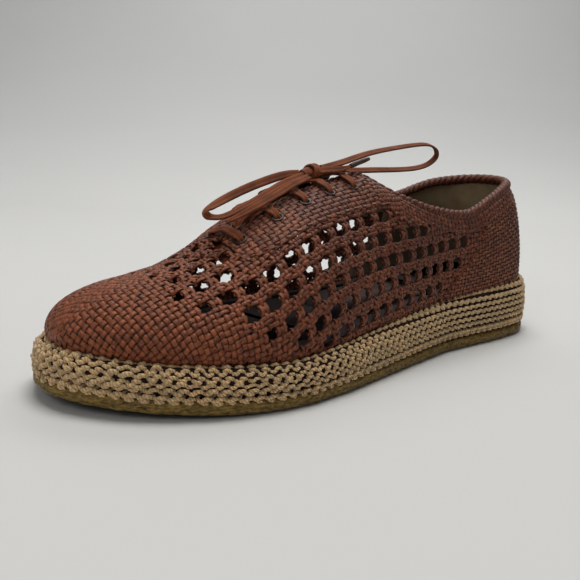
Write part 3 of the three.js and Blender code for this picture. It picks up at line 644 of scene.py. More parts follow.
# %% Ribbon helper and routes
LACE_WIDTH, LACE_THICKNESS = 0.0048, 0.0011
KNOT_ROUTE = (
    (0.0343, 0.0070, 0.0878), (0.0300, 0.0066, 0.0887), (0.0260, 0.0060, 0.0890), (0.0226, 0.0054, 0.0890),
)
FRONT_LOOP = (
    (0.0349, 0.0053, 0.0880), (0.0380, 0.0036, 0.0876), (0.0440, 0.0024, 0.0864), (0.0530, 0.0020, 0.0840),
    (0.0630, 0.0020, 0.0810), (0.0740, 0.0030, 0.0774), (0.0840, 0.0050, 0.0740), (0.0890, 0.0070, 0.0720),
    (0.0880, 0.0090, 0.0704), (0.0820, 0.0100, 0.0704), (0.0730, 0.0104, 0.0736), (0.0640, 0.0104, 0.0774),
    (0.0540, 0.0094, 0.0814), (0.0460, 0.0088, 0.0844), (0.0349, 0.0088, 0.0876),
)
BACK_LOOP = (
    (0.0218, 0.0069, 0.0906), (0.0170, 0.0080, 0.0918), (0.0080, 0.0080, 0.0938), (-0.0090, 0.0080, 0.0980),
    (-0.0300, 0.0070, 0.1012), (-0.0560, 0.0060, 0.1040), (-0.0680, 0.0050, 0.1024),
    (-0.0730, 0.0030, 0.0982), (-0.0690, 0.0010, 0.0938), (-0.0580, 0.0010, 0.0914),
    (-0.0420, 0.0015, 0.0904), (-0.0240, 0.0020, 0.0900),
    (-0.0060, 0.0025, 0.0896), (0.0080, 0.0030, 0.0900), (0.0218, 0.0036, 0.0904),
)
FRONT_END = (
    (0.0350, 0.0118, 0.0870), (0.0460, 0.0134, 0.0838), (0.0560, 0.0140, 0.0796), (0.0670, 0.0144, 0.0752),
    (0.0770, 0.0140, 0.0710), (0.0830, 0.0134, 0.0686),
)
BACK_END = ((0.0218, 0.0100, 0.0900), (0.0150, 0.0116, 0.0904), (0.0080, 0.0120, 0.0920))
BACK_AGLET = ((0.0071, 0.0120, 0.0923), (0.0, 0.0112, 0.0940), (-0.0070, 0.0104, 0.0956))


def spread(values, count):
    """Values at a few even places, drawn out smoothly to count places."""
    values = np.asarray(values, float)
    if values.ndim == 1:
        values = values[:, None]
    line = smooth_path(values, 12)
    picks = np.linspace(0, len(line) - 1, count)
    low = np.floor(picks).astype(int)
    high = np.minimum(low + 1, len(line) - 1)
    return line[low] + (line[high] - line[low]) * (picks - low)[:, None]


RIBBON_SECTION = np.array([
    (-1, 0), (-0.8, 0.95), (-0.4, 1), (0, 0.45), (0.4, 1), (0.8, 0.95),
    (1, 0), (0.8, -0.95), (0.4, -1), (0, -0.45), (-0.4, -1), (-0.8, -0.95),
])


def ribbon(name, route, facing, widths):
    """A flat lace along a route; facing and widths are a few values spread evenly along it."""
    builder = Builder()
    path = smooth_path(route, 8)
    count = len(path)
    normals = unit(spread(facing, count))
    uneven = spread(random.normal(0, 1, (9, 1)), count)[:, 0] * 0.03 + 1
    size = LACE_WIDTH * uneven * spread(widths, count)[:, 0]
    sweep(builder, path, normals, size, LACE_THICKNESS, RIBBON_SECTION)
    return builder.piece(name, lace_cloth, "lace_cloth"), path


# %% [markdown]
# Two loops and two ends leave the knot, and a small hard tip closes the back end. Each stands in
# for its node of the CAD model.

# %% Loops and ends
front_loop, front_loop_path = ribbon(
    "lace_loop_front_ribbon", FRONT_LOOP,
    [(0, 0.75, 0.65), (0.1, 0.8, 0.6), (0.2, 0.75, 0.6), (1, 0.2, 0.2), (0.2, 0.45, 0.85), (0.2, 0.5, 0.8),
     (0, 0.6, 0.7)],
    widths=[0.8, 0.85, 0.85, 0.75, 0.65, 0.75, 0.75])
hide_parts("lace_loop_front")
back_loop, back_loop_path = ribbon(
    "lace_loop_back_ribbon", BACK_LOOP,
    [(0, 0.6, 0.75), (0.1, 0.45, 0.85), (0, 0.35, 0.9), (-0.8, 0.15, 0.5), (-0.3, -0.5, -0.8),
     (0, -0.6, -0.75), (0, -0.6, -0.75)],
    widths=[0.8, 0.8, 0.7, 0.7, 0.75, 0.8, 0.8])
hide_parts("lace_loop_back")
front_end, front_end_path = ribbon(
    "lace_end_front_ribbon", FRONT_END,
    [(0.2, 0.6, 0.75), (0.25, 0.6, 0.75), (0.3, 0.6, 0.75), (0.35, 0.6, 0.7)],
    widths=[0.75, 0.75, 0.75, 0.7, 0.55, 0.28])
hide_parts("lace_end_front")
back_end, back_end_path = ribbon(
    "lace_end_back_ribbon", ((0.0262, 0.0080, 0.0892),) + BACK_END + BACK_AGLET[1:],
    [(0, 0.6, 0.75), (0, 0.75, 0.6), (0, 0.8, 0.5)], widths=[0.8, 0.9, 0.85, 0.7, 0.28, 0.26, 0.25, 0.25])
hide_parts("lace_end_back")

builder = Builder()
aglet_path = smooth_path((BACK_END[-1],) + BACK_AGLET[1:], 12)
aglet_sizes = spread([0.0021, 0.0024, 0.0022, 0.0023, 0.0021, 0.0016], len(aglet_path))[:, 0]
aglet_up = np.tile((0.0, 0, 1), (len(aglet_path), 1))
sweep(builder, aglet_path, aglet_up, aglet_sizes, aglet_sizes, ring_section(10))
aglet = builder.piece("lace_tip_back", dark_tip, "dark_tip")
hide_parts("lace_aglet_back")

# %% [markdown]
# ## The knot and the cord facts
# A short lace turns once round the crossing of the loops. Each loop and end then says how long it is.

# %% Knot
builder = Builder()
knot_path = smooth_path(KNOT_ROUTE, 8)
knot_size = spread([0.0046, 0.0056, 0.0056, 0.0046], len(knot_path))[:, 0]
knot_up = np.tile((0.0, 0.5, 0.85), (len(knot_path), 1))
sweep(builder, knot_path, knot_up, knot_size, knot_size * 0.62, ring_section(12))
knot_centre = knot_path[len(knot_path) // 2]
knot_axis = unit(knot_path[-1] - knot_path[0])
knot_side = unit(np.cross((0, 0, 1.0), knot_axis))
knot_top = np.cross(knot_axis, knot_side)
turn = np.linspace(0, 2 * math.pi, 30, endpoint=False)[:, None]
wrap_out = np.cos(turn) * knot_side * 0.0036 + np.sin(turn) * knot_top * 0.0029
wrap = knot_centre + wrap_out + knot_axis * (np.sin(turn + 0.6) * 0.0009)
sweep(builder, wrap, unit(wrap_out), 0.0046, 0.0012, RIBBON_SECTION, closed=True)
knot = builder.piece("lace_knot_wrap", lace_cloth, "lace_cloth")
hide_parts("lace_knot")

print("loops", path_length(front_loop_path), path_length(back_loop_path), "ends", path_length(front_end_path),
      path_length(back_end_path))

# %% [markdown]
# ## A fine chart of the upper
# The last surface is sampled finely on both sides. The chart knows, for each place, how far it
# lies from the upper edge and from the sole, and a tree finds the nearest place for any point.

# %% Chart
CHART_STATIONS, CHART_RISES = 361, 49
chart_station = np.linspace(0, 1, CHART_STATIONS)
chart_rise = np.linspace(0, 1, CHART_RISES)
grid_station, grid_rise = np.meshgrid(chart_station, chart_rise, indexing="ij")
chart = {}
for side in (1, -1):
    points = surface_point(grid_station, grid_rise, side)
    normals = surface_normal(grid_station, grid_rise, np.full(grid_station.shape, float(side)))
    steps = np.linalg.norm(np.diff(points, axis=1), axis=2)
    below = np.concatenate([np.zeros((CHART_STATIONS, 1)), np.cumsum(steps, 1)], 1)
    above = below[:, -1:] - below
    chart[side] = {"points": points, "normals": normals, "from_foot": below, "from_top": above}
print("half girth at the instep", round(float(chart[1]["from_foot"][180, -1]), 4))

FOOT_STEPS, TOP_STEPS, EXTRA_STEP = 6, 6, 0.002


def extended(side):
    """Chart points with rows added below the sole seam and beyond the upper edge."""
    points = chart[side]["points"]
    down = np.array((0, 0, -EXTRA_STEP))
    lower = [points[:, 0] + down * k for k in range(FOOT_STEPS, 0, -1)]
    opened = chart_station > throat_station + 1e-6
    edge = points[:, -1]
    centre = edge.copy()
    centre[:, 1] = top["shift"](chart_station) * CREST_SHIFT
    throat = opened & (chart_station < station_of(0.51))
    collar = opened & ~throat
    upper = []
    for k in range(1, TOP_STEPS + 1):
        row = edge.copy()
        row[throat] += (centre[throat] - edge[throat]) * k / TOP_STEPS
        row[collar, 2] += EXTRA_STEP * k
        upper.append(row)
    return np.stack(lower + list(points.transpose(1, 0, 2)) + upper, 1)


wide_chart = {side: extended(side) for side in (1, -1)}
wide_rows = wide_chart[1].shape[1]
tree_points = np.concatenate([wide_chart[1].reshape(-1, 3), wide_chart[-1].reshape(-1, 3)])
one_side = grid_faces(CHART_STATIONS, wide_rows)
surface_tree = BVHTree.FromPolygons(
    tree_points.tolist(), np.concatenate([one_side, one_side + len(tree_points) // 2]).tolist())
chart_places = KDTree(2 * CHART_STATIONS * CHART_RISES)
for k, point in enumerate(np.concatenate([chart[s]["points"].reshape(-1, 3) for s in (1, -1)])):
    chart_places.insert(point, k)
chart_places.balance()
chart_normals = np.concatenate([chart[s]["normals"].reshape(-1, 3) for s in (1, -1)])
chart_from_top = np.concatenate([chart[s]["from_top"].ravel() for s in (1, -1)])
chart_from_foot = np.concatenate([chart[s]["from_foot"].ravel() for s in (1, -1)])
chart_stations = np.tile(grid_station.ravel(), 2)


def rise_at(station, side, from_top):
    """Rises that lie the given distances below the upper edge, at single stations."""
    k = station * (CHART_STATIONS - 1)
    low = int(min(CHART_STATIONS - 2, max(0, math.floor(k))))
    table = chart[side]["from_top"]
    line = table[low] + (table[low + 1] - table[low]) * (k - low)
    return np.interp(from_top, line[::-1], chart_rise[::-1])


# %% [markdown]
# ## The woven net
# The toe, vamp and quarters are one cloth of leather strips: one set runs back along the shoe,
# parallel to the crest, and the other set crosses it. The crossings are the nodes of a net. They
# start from a rough map of the last and then settle: every step pulls neighbours to one strip
# width apart and puts them back on the surface, as a real strip cannot stretch. That is why the
# squares stay even while the rows bend round the toe.

# %% Net start
STRIP = 0.0026
TOE_CENTRE = 0.088
CLOTH_BACK = -0.082
CREST_ROW = FOOT_STEPS + CHART_RISES - 1


def section_table(side):
    """Points by section and row: straight cuts up to the toe centre, then cuts turning round it."""
    rows = wide_chart[side]
    cuts = np.linspace(-0.10, TOE_CENTRE, 70)
    turns = np.linspace(0, math.pi / 2, 40)
    table = np.zeros((len(cuts) + len(turns) - 1, wide_rows, 3))
    for r in range(wide_rows):
        line = rows[:, r]
        x = line[::-1, 0]
        x = np.maximum.accumulate(x + np.arange(len(x)) * 1e-9)
        for axis in range(3):
            table[:len(cuts), r, axis] = np.interp(cuts, x, line[::-1, axis])
        angle = np.arctan2(np.abs(line[:, 1]), line[:, 0] - TOE_CENTRE)
        angle = np.maximum.accumulate(angle + np.arange(len(angle)) * 1e-9)
        for axis in range(3):
            table[len(cuts):, r, axis] = np.interp(turns[::-1][1:], angle, line[:, axis])
    closed = table[len(cuts):, CREST_ROW]
    centre = table[len(cuts) - 1, CREST_ROW]
    for k in range(1, TOP_STEPS + 1):
        table[len(cuts):, CREST_ROW + k] = closed + (centre - closed) * k / TOP_STEPS
    return cuts, turns, table


tables = {side: section_table(side) for side in (1, -1)}
cuts, turns, _ = tables[1]
section_place = np.concatenate([cuts, TOE_CENTRE + (math.pi / 2 - turns[::-1][1:])])


def section_lengths(table):
    steps = np.linalg.norm(np.diff(table, axis=1), axis=2)
    return np.concatenate([np.zeros((len(table), 1)), np.cumsum(steps, 1)], 1) - FOOT_STEPS * EXTRA_STEP


lengths = {side: section_lengths(tables[side][2]) for side in (1, -1)}
girths = {}
for side in (1, -1):
    last_row = wide_rows - 1
    girth = lengths[side][:, last_row].copy()
    over_vamp = (section_place > 0.077) & (np.arange(len(girth)) < len(cuts))
    girth[over_vamp] = lengths[side][over_vamp, CREST_ROW]
    behind = section_place < 0.014
    girth[behind] = girth[~behind][0]
    girths[side] = girth


def start_place(u, v):
    """A first place on the last for a point of the flat cloth, u forward of the toe centre, v aside."""
    side = 1 if v >= 0 else -1
    distance = math.hypot(u, v)
    if u <= 0:
        section, reach = TOE_CENTRE + u, abs(v)
    else:
        angle = math.atan2(abs(v), u)
        section, reach = TOE_CENTRE + (math.pi / 2 - angle), distance
    k = float(np.interp(section, section_place, np.arange(len(section_place))))
    low = min(len(section_place) - 2, int(k))
    part = k - low
    girth = girths[side][low] * (1 - part) + girths[side][low + 1] * part
    below = girth - reach
    found = []
    for index in (low, low + 1):
        line = lengths[side][index]
        found.append([np.interp(below, line, tables[side][2][index, :, axis]) for axis in range(3)])
    fits = -0.0075 < below < max(lengths[side][low][-1], lengths[side][low + 1][-1])
    return np.array(found[0]) * (1 - part) + np.array(found[1]) * part, fits


NET_LONG, NET_WIDE, NET_CENTRE = 112, 88, 68
net = np.zeros((NET_LONG, NET_WIDE, 3))
held = np.zeros((NET_LONG, NET_WIDE), bool)
for a in range(NET_LONG):
    for b in range(NET_WIDE):
        u = (a - NET_CENTRE) * STRIP
        v = (b - NET_WIDE / 2 + 0.5) * STRIP
        if u > CLOTH_BACK - TOE_CENTRE:
            net[a, b], held[a, b] = start_place(u, v)
print("net nodes", int(held.sum()))

# %% [markdown]
# Neighbours pull or push until they are one strip apart, the diagonal ones only a little. After
# every few moves each node is put back on the surface.

# %% Net settling
def settle(net, held, spacing, rounds, inner=4):
    pairs = (
        (np.s_[1:, :], np.s_[:-1, :], spacing, 0.9),
        (np.s_[:, 1:], np.s_[:, :-1], spacing, 0.9),
        (np.s_[1:, 1:], np.s_[:-1, :-1], spacing * math.sqrt(2), 0.06),
        (np.s_[1:, :-1], np.s_[:-1, 1:], spacing * math.sqrt(2), 0.06),
    )
    where = np.argwhere(held)
    for _ in range(rounds):
        for _ in range(inner):
            move = np.zeros_like(net)
            share = np.zeros(net.shape[:2])
            for first, second, rest, strength in pairs:
                both = held[first] & held[second]
                gap = net[first] - net[second]
                length = np.maximum(np.linalg.norm(gap, axis=2), 1e-9)
                pull = gap * ((rest - length) / length * 0.5 * strength * both)[..., None]
                move[first] += pull
                move[second] -= pull
                share[first] += both * strength
                share[second] += both * strength
            net += move / np.maximum(share, 1)[..., None] * 1.6
        for a, b in where:
            net[a, b] = surface_tree.find_nearest(net[a, b])[0]
    return net


net = settle(net, held, STRIP, 45)
gaps = np.linalg.norm(net[1:] - net[:-1], axis=2)[held[1:] & held[:-1]]
print("strip spacing mm, low, middle, high:", np.round(np.percentile(gaps, (2, 50, 98)) * 1000, 2))

# %% [markdown]
# The distances to the upper edge and to the sole say which nodes are shown: the net stops under
# the close weave and at the heel counter. Close to the sole it is tucked in.

# %% Zones
BAND_WIDE, BAND_NARROW = 0.0205, 0.0088


def band_width(station):
    """Width of the close weave below the upper edge: wide beside the throat, narrow round the collar."""
    along = along_of(station)
    wide = np.clip((along - 0.40) / 0.10, 0, 1)
    front = along < THROAT_FRONT + 0.012
    return (BAND_NARROW + (BAND_WIDE - BAND_NARROW) * wide) * front


def open_limit(z):
    """How far towards the toe the open weave reaches, at a height."""
    return 0.086 + 0.031 * np.clip((z - 0.026) / 0.018, 0, 1)


def counter_line(z):
    """Where the heel counter begins: it leans forward towards the sole."""
    return np.interp(z, (0.026, 0.032, 0.047, 0.060, 0.074), (-0.039, -0.0436, -0.0652, -0.0744, -0.079))


near = [chart_places.find(Vector(point))[1] for point in net[held]]
near_index = np.zeros(held.shape, int)
near_index[held] = near
node_normal = np.zeros_like(net)
node_normal[held] = chart_normals[near]
from_top = np.where(held, chart_from_top[near_index], 0)
from_foot = np.where(held, chart_from_foot[near_index], 0)
node_station = np.where(held, chart_stations[near_index], 0)
opened = node_station > throat_station - 0.004
shown = held & (~opened | (from_top > band_width(node_station) - 0.003))
shown &= net[..., 0] > counter_line(net[..., 2]) - 0.0035
tuck = np.clip(1 - from_foot / 0.0045, 0, 1) ** 2 * 0.0014
net = net - node_normal * (tuck * held)[..., None]
print("nodes shown", int(shown.sum()))

# %% [markdown]
# ## Holes in the open zone
# Every fourth crossing of every fourth strip is left out, and the next row of holes is shifted by
# half a step. The crossings round a hole are drawn away from it, and the strips that end there
# bend round their last crossing and down into the hole.

# %% Holes
HOLE_EVERY, HOLE_SPREAD, HOLE_ROUND = 4, 0.46, 0.14
SMALL_REACH, SMALL_HOLE = 0.012, 0.5
long_index, wide_index = np.meshgrid(np.arange(NET_LONG), np.arange(NET_WIDE), indexing="ij")
limit = open_limit(net[..., 2])
open_zone = shown & (net[..., 0] < limit) & (from_foot > 0.0042)
open_zone &= (node_station < throat_station - 0.004) | (from_top > band_width(node_station) + 0.0022)
open_zone &= net[..., 0] > counter_line(net[..., 2]) + 0.0042
long_index = long_index + HOLE_EVERY // 2 * ((wide_index + HOLE_EVERY // 2) // HOLE_EVERY % 2)
hole = open_zone & (long_index % HOLE_EVERY == 0) & (wide_index % HOLE_EVERY == 0)
size_of_hole = np.where(net[..., 0] > limit - SMALL_REACH, SMALL_HOLE, 1.0) * hole
print("holes", int(hole.sum()))


def blurred(values, reach):
    """The largest of the neighbouring values within reach."""
    found = values.copy()
    for a in range(-reach, reach + 1):
        for b in range(-reach, reach + 1):
            found = np.maximum(found, np.roll(values, (a, b), (0, 1)))
    return found


openness = blurred(size_of_hole, 2)
moved = net.copy()
for axis, index in ((0, long_index), (1, wide_index)):
    other = wide_index if axis == 0 else long_index
    beside = np.where(other % HOLE_EVERY == 0, 1, np.where(other % HOLE_EVERY == 2, -0.4, -1)) * HOLE_ROUND
    for step in (1, -1):
        touched = (index % HOLE_EVERY == (step % HOLE_EVERY)) & held & np.roll(held, -step, axis)
        pull = np.roll(net, -step, axis) - net
        moved += pull * (touched * openness * (HOLE_SPREAD + beside))[..., None]
net = moved

# %% [markdown]
# ## Strips
# Each strip swings over one crossing and under the next, and where one set is above, the other
# set is below.

# %% Strips
STRIP_THICK, STRIP_WAVE, PER_NODE, NET_LIFT = 0.00112, 0.00056, 4, -0.0004


def runs_of(mask):
    """Starts and ends of the unbroken runs in a row of yes and no."""
    edges = np.diff(np.concatenate([[0], mask.astype(int), [0]]))
    return list(zip(np.flatnonzero(edges == 1), np.flatnonzero(edges == -1)))


def weave_strip(builder, path, normals, first_sign, width, lift=0.0, thick=STRIP_THICK, wave=STRIP_WAVE,
                per_node=PER_NODE, tone=0.5):
    """One strip over and under its crossings. first_sign says whether it starts above or below."""
    line = smooth_path(path, per_node)
    line_normals = unit(smooth_path(normals, per_node))
    at = np.arange(len(line)) / per_node
    swing = np.clip(np.cos(at * math.pi) * 1.25, -1, 1) * first_sign
    sizes = np.interp(at, np.arange(len(path)), np.broadcast_to(width, (len(path),)))
    line = line + line_normals * (lift + swing * wave)[:, None]
    squares = random.normal(0, 0.24, len(path) + 1)[np.round(at).astype(int)]
    # Painted shade: the tone drops where the strip dips under a crossing and rises where it lies on top.
    tones = np.clip(tone + squares + swing * 0.1, 0, 1)
    sweep(builder, line, line_normals, sizes, thick, FLAT_SECTION, tones)


def wrapped_end(path, normals, at_end):
    """Adds a point that bends the strip round the outermost crossing and down into the hole."""
    tip, before = (path[-1], path[-2]) if at_end else (path[0], path[1])
    normal = normals[-1] if at_end else normals[0]
    extra = tip + unit(tip - before) * 0.00125 - normal * 0.0007
    if at_end:
        return np.concatenate([path, extra[None]]), np.concatenate([normals, normal[None]])
    return np.concatenate([extra[None], path]), np.concatenate([normal[None], normals])


def weave_net(builders, pick, width):
    for direction in (0, 1):
        grid = net if direction == 0 else net.transpose(1, 0, 2)
        ups = node_normal if direction == 0 else node_normal.transpose(1, 0, 2)
        cut = hole if direction == 0 else hole.T
        mask = (shown if direction == 0 else shown.T) & ~cut
        wideness = openness if direction == 0 else openness.T
        for b in range(grid.shape[1]):
            for start, end in runs_of(mask[:, b]):
                if end - start < 2:
                    continue
                sign = 1 if (start + b + direction) % 2 == 0 else -1
                path, normals = grid[start:end, b], ups[start:end, b]
                slim = 0.26 if b % HOLE_EVERY else 0.1
                sizes = width * (0.97 - slim * wideness[start:end, b])
                if start > 0 and cut[start - 1, b]:
                    path, normals = wrapped_end(path, normals, False)
                    sizes = np.concatenate([sizes[:1] * 0.8, sizes])
                    sign = -sign
                if end < len(cut) and cut[end, b]:
                    path, normals = wrapped_end(path, normals, True)
                    sizes = np.concatenate([sizes, sizes[-1:] * 0.8])
                tone = float(np.clip(random.normal(0.5, 0.14), 0, 1))
                weave_strip(builders[pick(path)], path, normals, sign, sizes, NET_LIFT, tone=tone)


def which(path):
    middle = path.mean(0)
    if middle[0] > 0.055:
        return "toe"
    return "outer" if middle[1] > 0 else "inner"


builders = {name: Builder() for name in ("toe", "outer", "inner")}
weave_net(builders, which, STRIP)
weave_pieces = {
    name: builders[name].piece("weave_" + name, woven_leather, "woven_leather") for name in builders
}
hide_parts("upper")

# %% [markdown]
# ## The close weave beside the throat and round the collar
# Along the upper edge the same leather is woven square, in rows that run with the edge. We lay
# rows at even distances from the edge and columns at even steps along it.

# %% Edge band
ROW_STEP, COLUMN_STEP, BAND_LIFT, GRID_PER_NODE = 0.00235, 0.00305, 0.0003, 3


def band_grid(side):
    stations = np.linspace(throat_station + 0.0005, 0.9995, 900)
    edge = surface_point(stations, np.full(900, 0.93), np.full(900, float(side)))
    along = np.concatenate([[0], np.cumsum(np.linalg.norm(np.diff(edge, axis=0), axis=1))])
    columns = int(along[-1] / COLUMN_STEP)
    picks = np.interp(np.linspace(0, along[-1], columns), along, stations)
    rows = int(BAND_WIDE / ROW_STEP) + 1
    depth = 0.0018 + np.arange(rows) * ROW_STEP
    rises = np.stack([rise_at(float(station), side, depth) for station in picks], 1)
    spots = np.broadcast_to(picks, rises.shape)
    sides = np.full(rises.shape, float(side))
    points = surface_point(spots, rises, sides)
    normals = surface_normal(spots, rises, sides)
    mask = depth[:, None] <= band_width(picks)[None, :] + 0.0006
    return points, normals, mask


def weave_grid(builder, points, normals, mask, row_width, column_width, lift, thick=0.00085, wave=0.0004):
    """Rows and columns of strips over and under each other on a grid of places."""
    for direction, width in ((0, row_width), (1, column_width)):
        grid = points if direction == 0 else points.transpose(1, 0, 2)
        ups = normals if direction == 0 else normals.transpose(1, 0, 2)
        cover = mask if direction == 0 else mask.T
        for a in range(grid.shape[0]):
            for start, end in runs_of(cover[a]):
                if end - start < 2:
                    continue
                sign = 1 if (a + start + direction) % 2 == 0 else -1
                tone = float(np.clip(random.normal(0.42, 0.2), 0, 1))
                weave_strip(builder, grid[a, start:end], ups[a, start:end], sign, width, lift, thick, wave,
                            GRID_PER_NODE, tone)


for side, name in ((1, "outer"), (-1, "inner")):
    builder = Builder()
    points, normals, mask = band_grid(side)
    weave_grid(builder, points, normals, mask, ROW_STEP * 1.02, COLUMN_STEP * 0.92, BAND_LIFT)
    builder.piece("edge_band_" + name, woven_leather, "woven_leather")

# %% [markdown]
# ## Heel counter
# Behind a slanted line the heel is woven upright, in level rows and upright ribs.

# %% Counter
RIB_STEP, COUNTER_ROW = 0.0027, 0.0024
heel_front = float(station_of(0.36))
heel_stations = np.linspace(heel_front, 1, 500)
heel_line = surface_point(heel_stations, np.full(500, 0.4), np.ones(500))
heel_along = np.concatenate([[0], np.cumsum(np.linalg.norm(np.diff(heel_line, axis=0), axis=1))])
half_ribs = int(heel_along[-1] / RIB_STEP)
half_picks = np.interp(np.linspace(0, heel_along[-1], half_ribs), heel_along, heel_stations)
rib_station = np.concatenate([half_picks, half_picks[::-1][1:]])
rib_side = np.concatenate([np.ones(half_ribs), -np.ones(half_ribs - 1)])
counter_height = float(chart[1]["from_foot"][-1, -1])
counter_rows = int((counter_height - BAND_NARROW * 0.6) / COUNTER_ROW)
row_share = np.linspace(-0.02, 1, counter_rows)
counter_points = np.zeros((counter_rows, len(rib_station), 3))
counter_normals = np.zeros_like(counter_points)
for c, (station, side) in enumerate(zip(rib_station, rib_side)):
    nearest = min(CHART_STATIONS - 1, int(round(station * (CHART_STATIONS - 1))))
    column = chart[int(side)]["from_foot"][nearest]
    reach = column[-1] - band_width(np.array(station)) + 0.002
    rises = np.interp(np.maximum(0, row_share) * reach, column, chart_rise)
    counter_points[:, c] = surface_point(np.full(counter_rows, station), rises, np.full(counter_rows, side))
    counter_points[:, c, 2] += np.minimum(0, row_share) * reach
    counter_normals[:, c] = surface_normal(np.full(counter_rows, station), rises, np.full(counter_rows, side))
counter_mask = counter_points[..., 0] < counter_line(counter_points[..., 2])
builder = Builder()
weave_grid(builder, counter_points, counter_normals, counter_mask, COUNTER_ROW * 0.7, RIB_STEP * 0.9, 0.0,
           0.0012, 0.0008)
builder.piece("heel_counter", counter_leather, "woven_leather")

# %% [markdown]
# ## Backing under the close weave
# The toe, the edge band and the heel have a thin leather layer inside, so light does not pass
# through them. The open zone has none, and its holes are real.

# %% Backing sheet
def shell_sheet(name, material, slot, depth, thick, test):
    """A thin sheet at a depth below the last surface, kept where the test of a place is true."""
    builder = Builder()
    for side in (1, -1):
        points = chart[side]["points"][::3, ::2]
        normals = chart[side]["normals"][::3, ::2]
        stations, rises = grid_station[::3, ::2], grid_rise[::3, ::2]
        keep = test(stations, rises, side, points, chart[side]["from_top"][::3, ::2])
        rows, columns = stations.shape
        faces = grid_faces(rows, columns)
        kept = faces[keep.ravel()[faces].all(1)]
        outer = (points - normals * depth).reshape(-1, 3)
        inner = (points - normals * (depth + thick)).reshape(-1, 3)
        turned = kept if side > 0 else kept[:, ::-1]
        count = len(outer)
        sides = []
        edges = {}
        for face in turned:
            for k in range(4):
                pair = (int(face[k]), int(face[(k + 1) % 4]))
                edges[pair] = edges.get(pair, 0) + 1
        for pair in edges:
            if (pair[1], pair[0]) not in edges:
                sides.append([pair[1], pair[0], pair[0] + count, pair[1] + count])
        faces = np.concatenate([turned, turned[:, ::-1] + count, np.array(sides)])
        builder.add(np.concatenate([outer, inner]), faces)
    return builder.piece(name, material, slot)


def backing_here(stations, rises, side, points, edge):
    opened = stations > throat_station - 0.004
    toe = points[..., 0] > open_limit(points[..., 2]) + 0.002
    band = opened & (edge < band_width(stations) - 0.001)
    heel = points[..., 0] < counter_line(points[..., 2])
    return toe | band | heel


def lining_here(stations, rises, side, points, edge):
    heel = points[..., 0] < counter_line(points[..., 2]) + 0.002
    collar = (edge < 0.008) & (along_of(stations) < 0.50)
    return heel | collar


shell_sheet("backing", backing_painted_shade, "woven_leather", 0.0007, 0.0004, backing_here)
shell_sheet("heel_lining", lining_leather, "lining", 0.0013, 0.0006, lining_here)

# %% [markdown]
# ## The rope edge
# Three strands twist round each other along the whole upper edge, from the front of the throat
# round the collar and back.

# %% Rope edge
def edge_line(steps):
    stations = np.linspace(throat_station + 0.0008, 1, steps)
    line = []
    for side in (1, -1):
        edge = surface_point(stations, np.ones(steps), np.full(steps, float(side)))
        up = surface_normal(stations, np.full(steps, 0.985), np.full(steps, float(side)))
        line.append((edge, up))
    points = np.concatenate([line[0][0], line[1][0][::-1][1:]])
    normals = np.concatenate([line[0][1], line[1][1][::-1][1:]])
    along = np.concatenate([[0], np.cumsum(np.linalg.norm(np.diff(points, axis=0), axis=1))])
    even = np.linspace(0, along[-1], int(along[-1] / 0.0011))
    points = np.stack([np.interp(even, along, points[:, k]) for k in range(3)], 1)
    normals = unit(np.stack([np.interp(even, along, normals[:, k]) for k in range(3)], 1))
    return points, normals, even


ROPE_PITCH, ROPE_RADIUS, STRAND = 0.0125, 0.00125, 0.0026
rope, rope_up, rope_run = edge_line(500)
rope_tangent = unit(np.gradient(rope, axis=0))
rope_side = np.cross(rope_up, rope_tangent)
rope_size = np.interp(rope[:, 0], (-0.135, -0.09, -0.02, 0.01, 0.03), (1.25, 1.1, 1.0, 0.7, 0.45))
builder = Builder()
for k in range(3):
    turn = (rope_run / ROPE_PITCH * 2 * math.pi + k * 2 * math.pi / 3)[:, None]
    out = np.cos(turn) * rope_up + np.sin(turn) * rope_side
    strand = rope + rope_up * 0.0004 + out * (ROPE_RADIUS * rope_size)[:, None]
    sweep(builder, strand, out, STRAND * rope_size * 1.15, STRAND * rope_size * 0.9, ring_section(8),
          tone=0.35 + 0.15 * k)
builder.piece("rope_edge", woven_leather, "woven_leather")

# %% [markdown]
# ## Eyelets and lacing
# The eyelet places are found as in the CAD source: down from the throat edge along the profile.
# Each lace strand comes up out of the throat, bends over the edge and dives into its eyelet.

# %% Eyelets
EYELET_SETBACK, EYELET_PITCH, EYELET_FROM_EDGE = 0.0035, 0.0156, 0.0085
EYELETS_A_SIDE, RING_STEPS = 5, 28


def eyelet_place(index, side):
    head_x = float((top["head"](throat_station) - 0.5) * SOLE_LENGTH) - EYELET_SETBACK - index * EYELET_PITCH
    low, high = throat_station, float(station_of(0.45))
    for _ in range(40):
        middle = (low + high) / 2
        if float((top["head"](middle) - 0.5) * SOLE_LENGTH) > head_x:
            low = middle
        else:
            high = middle
    rises = np.arange(1, 0.3, -0.005)
    line = surface_point(np.full(len(rises), low), rises, np.full(len(rises), float(side)))
    gone = np.concatenate([[0], np.cumsum(np.linalg.norm(np.diff(line, axis=0), axis=1))])
    k = int(np.argmax(gone >= EYELET_FROM_EDGE))
    normal = surface_normal(np.array(low), np.array(rises[k]), np.array(float(side)))
    return {"station": low, "rise": float(rises[k]), "point": line[k], "normal": normal, "side": side}


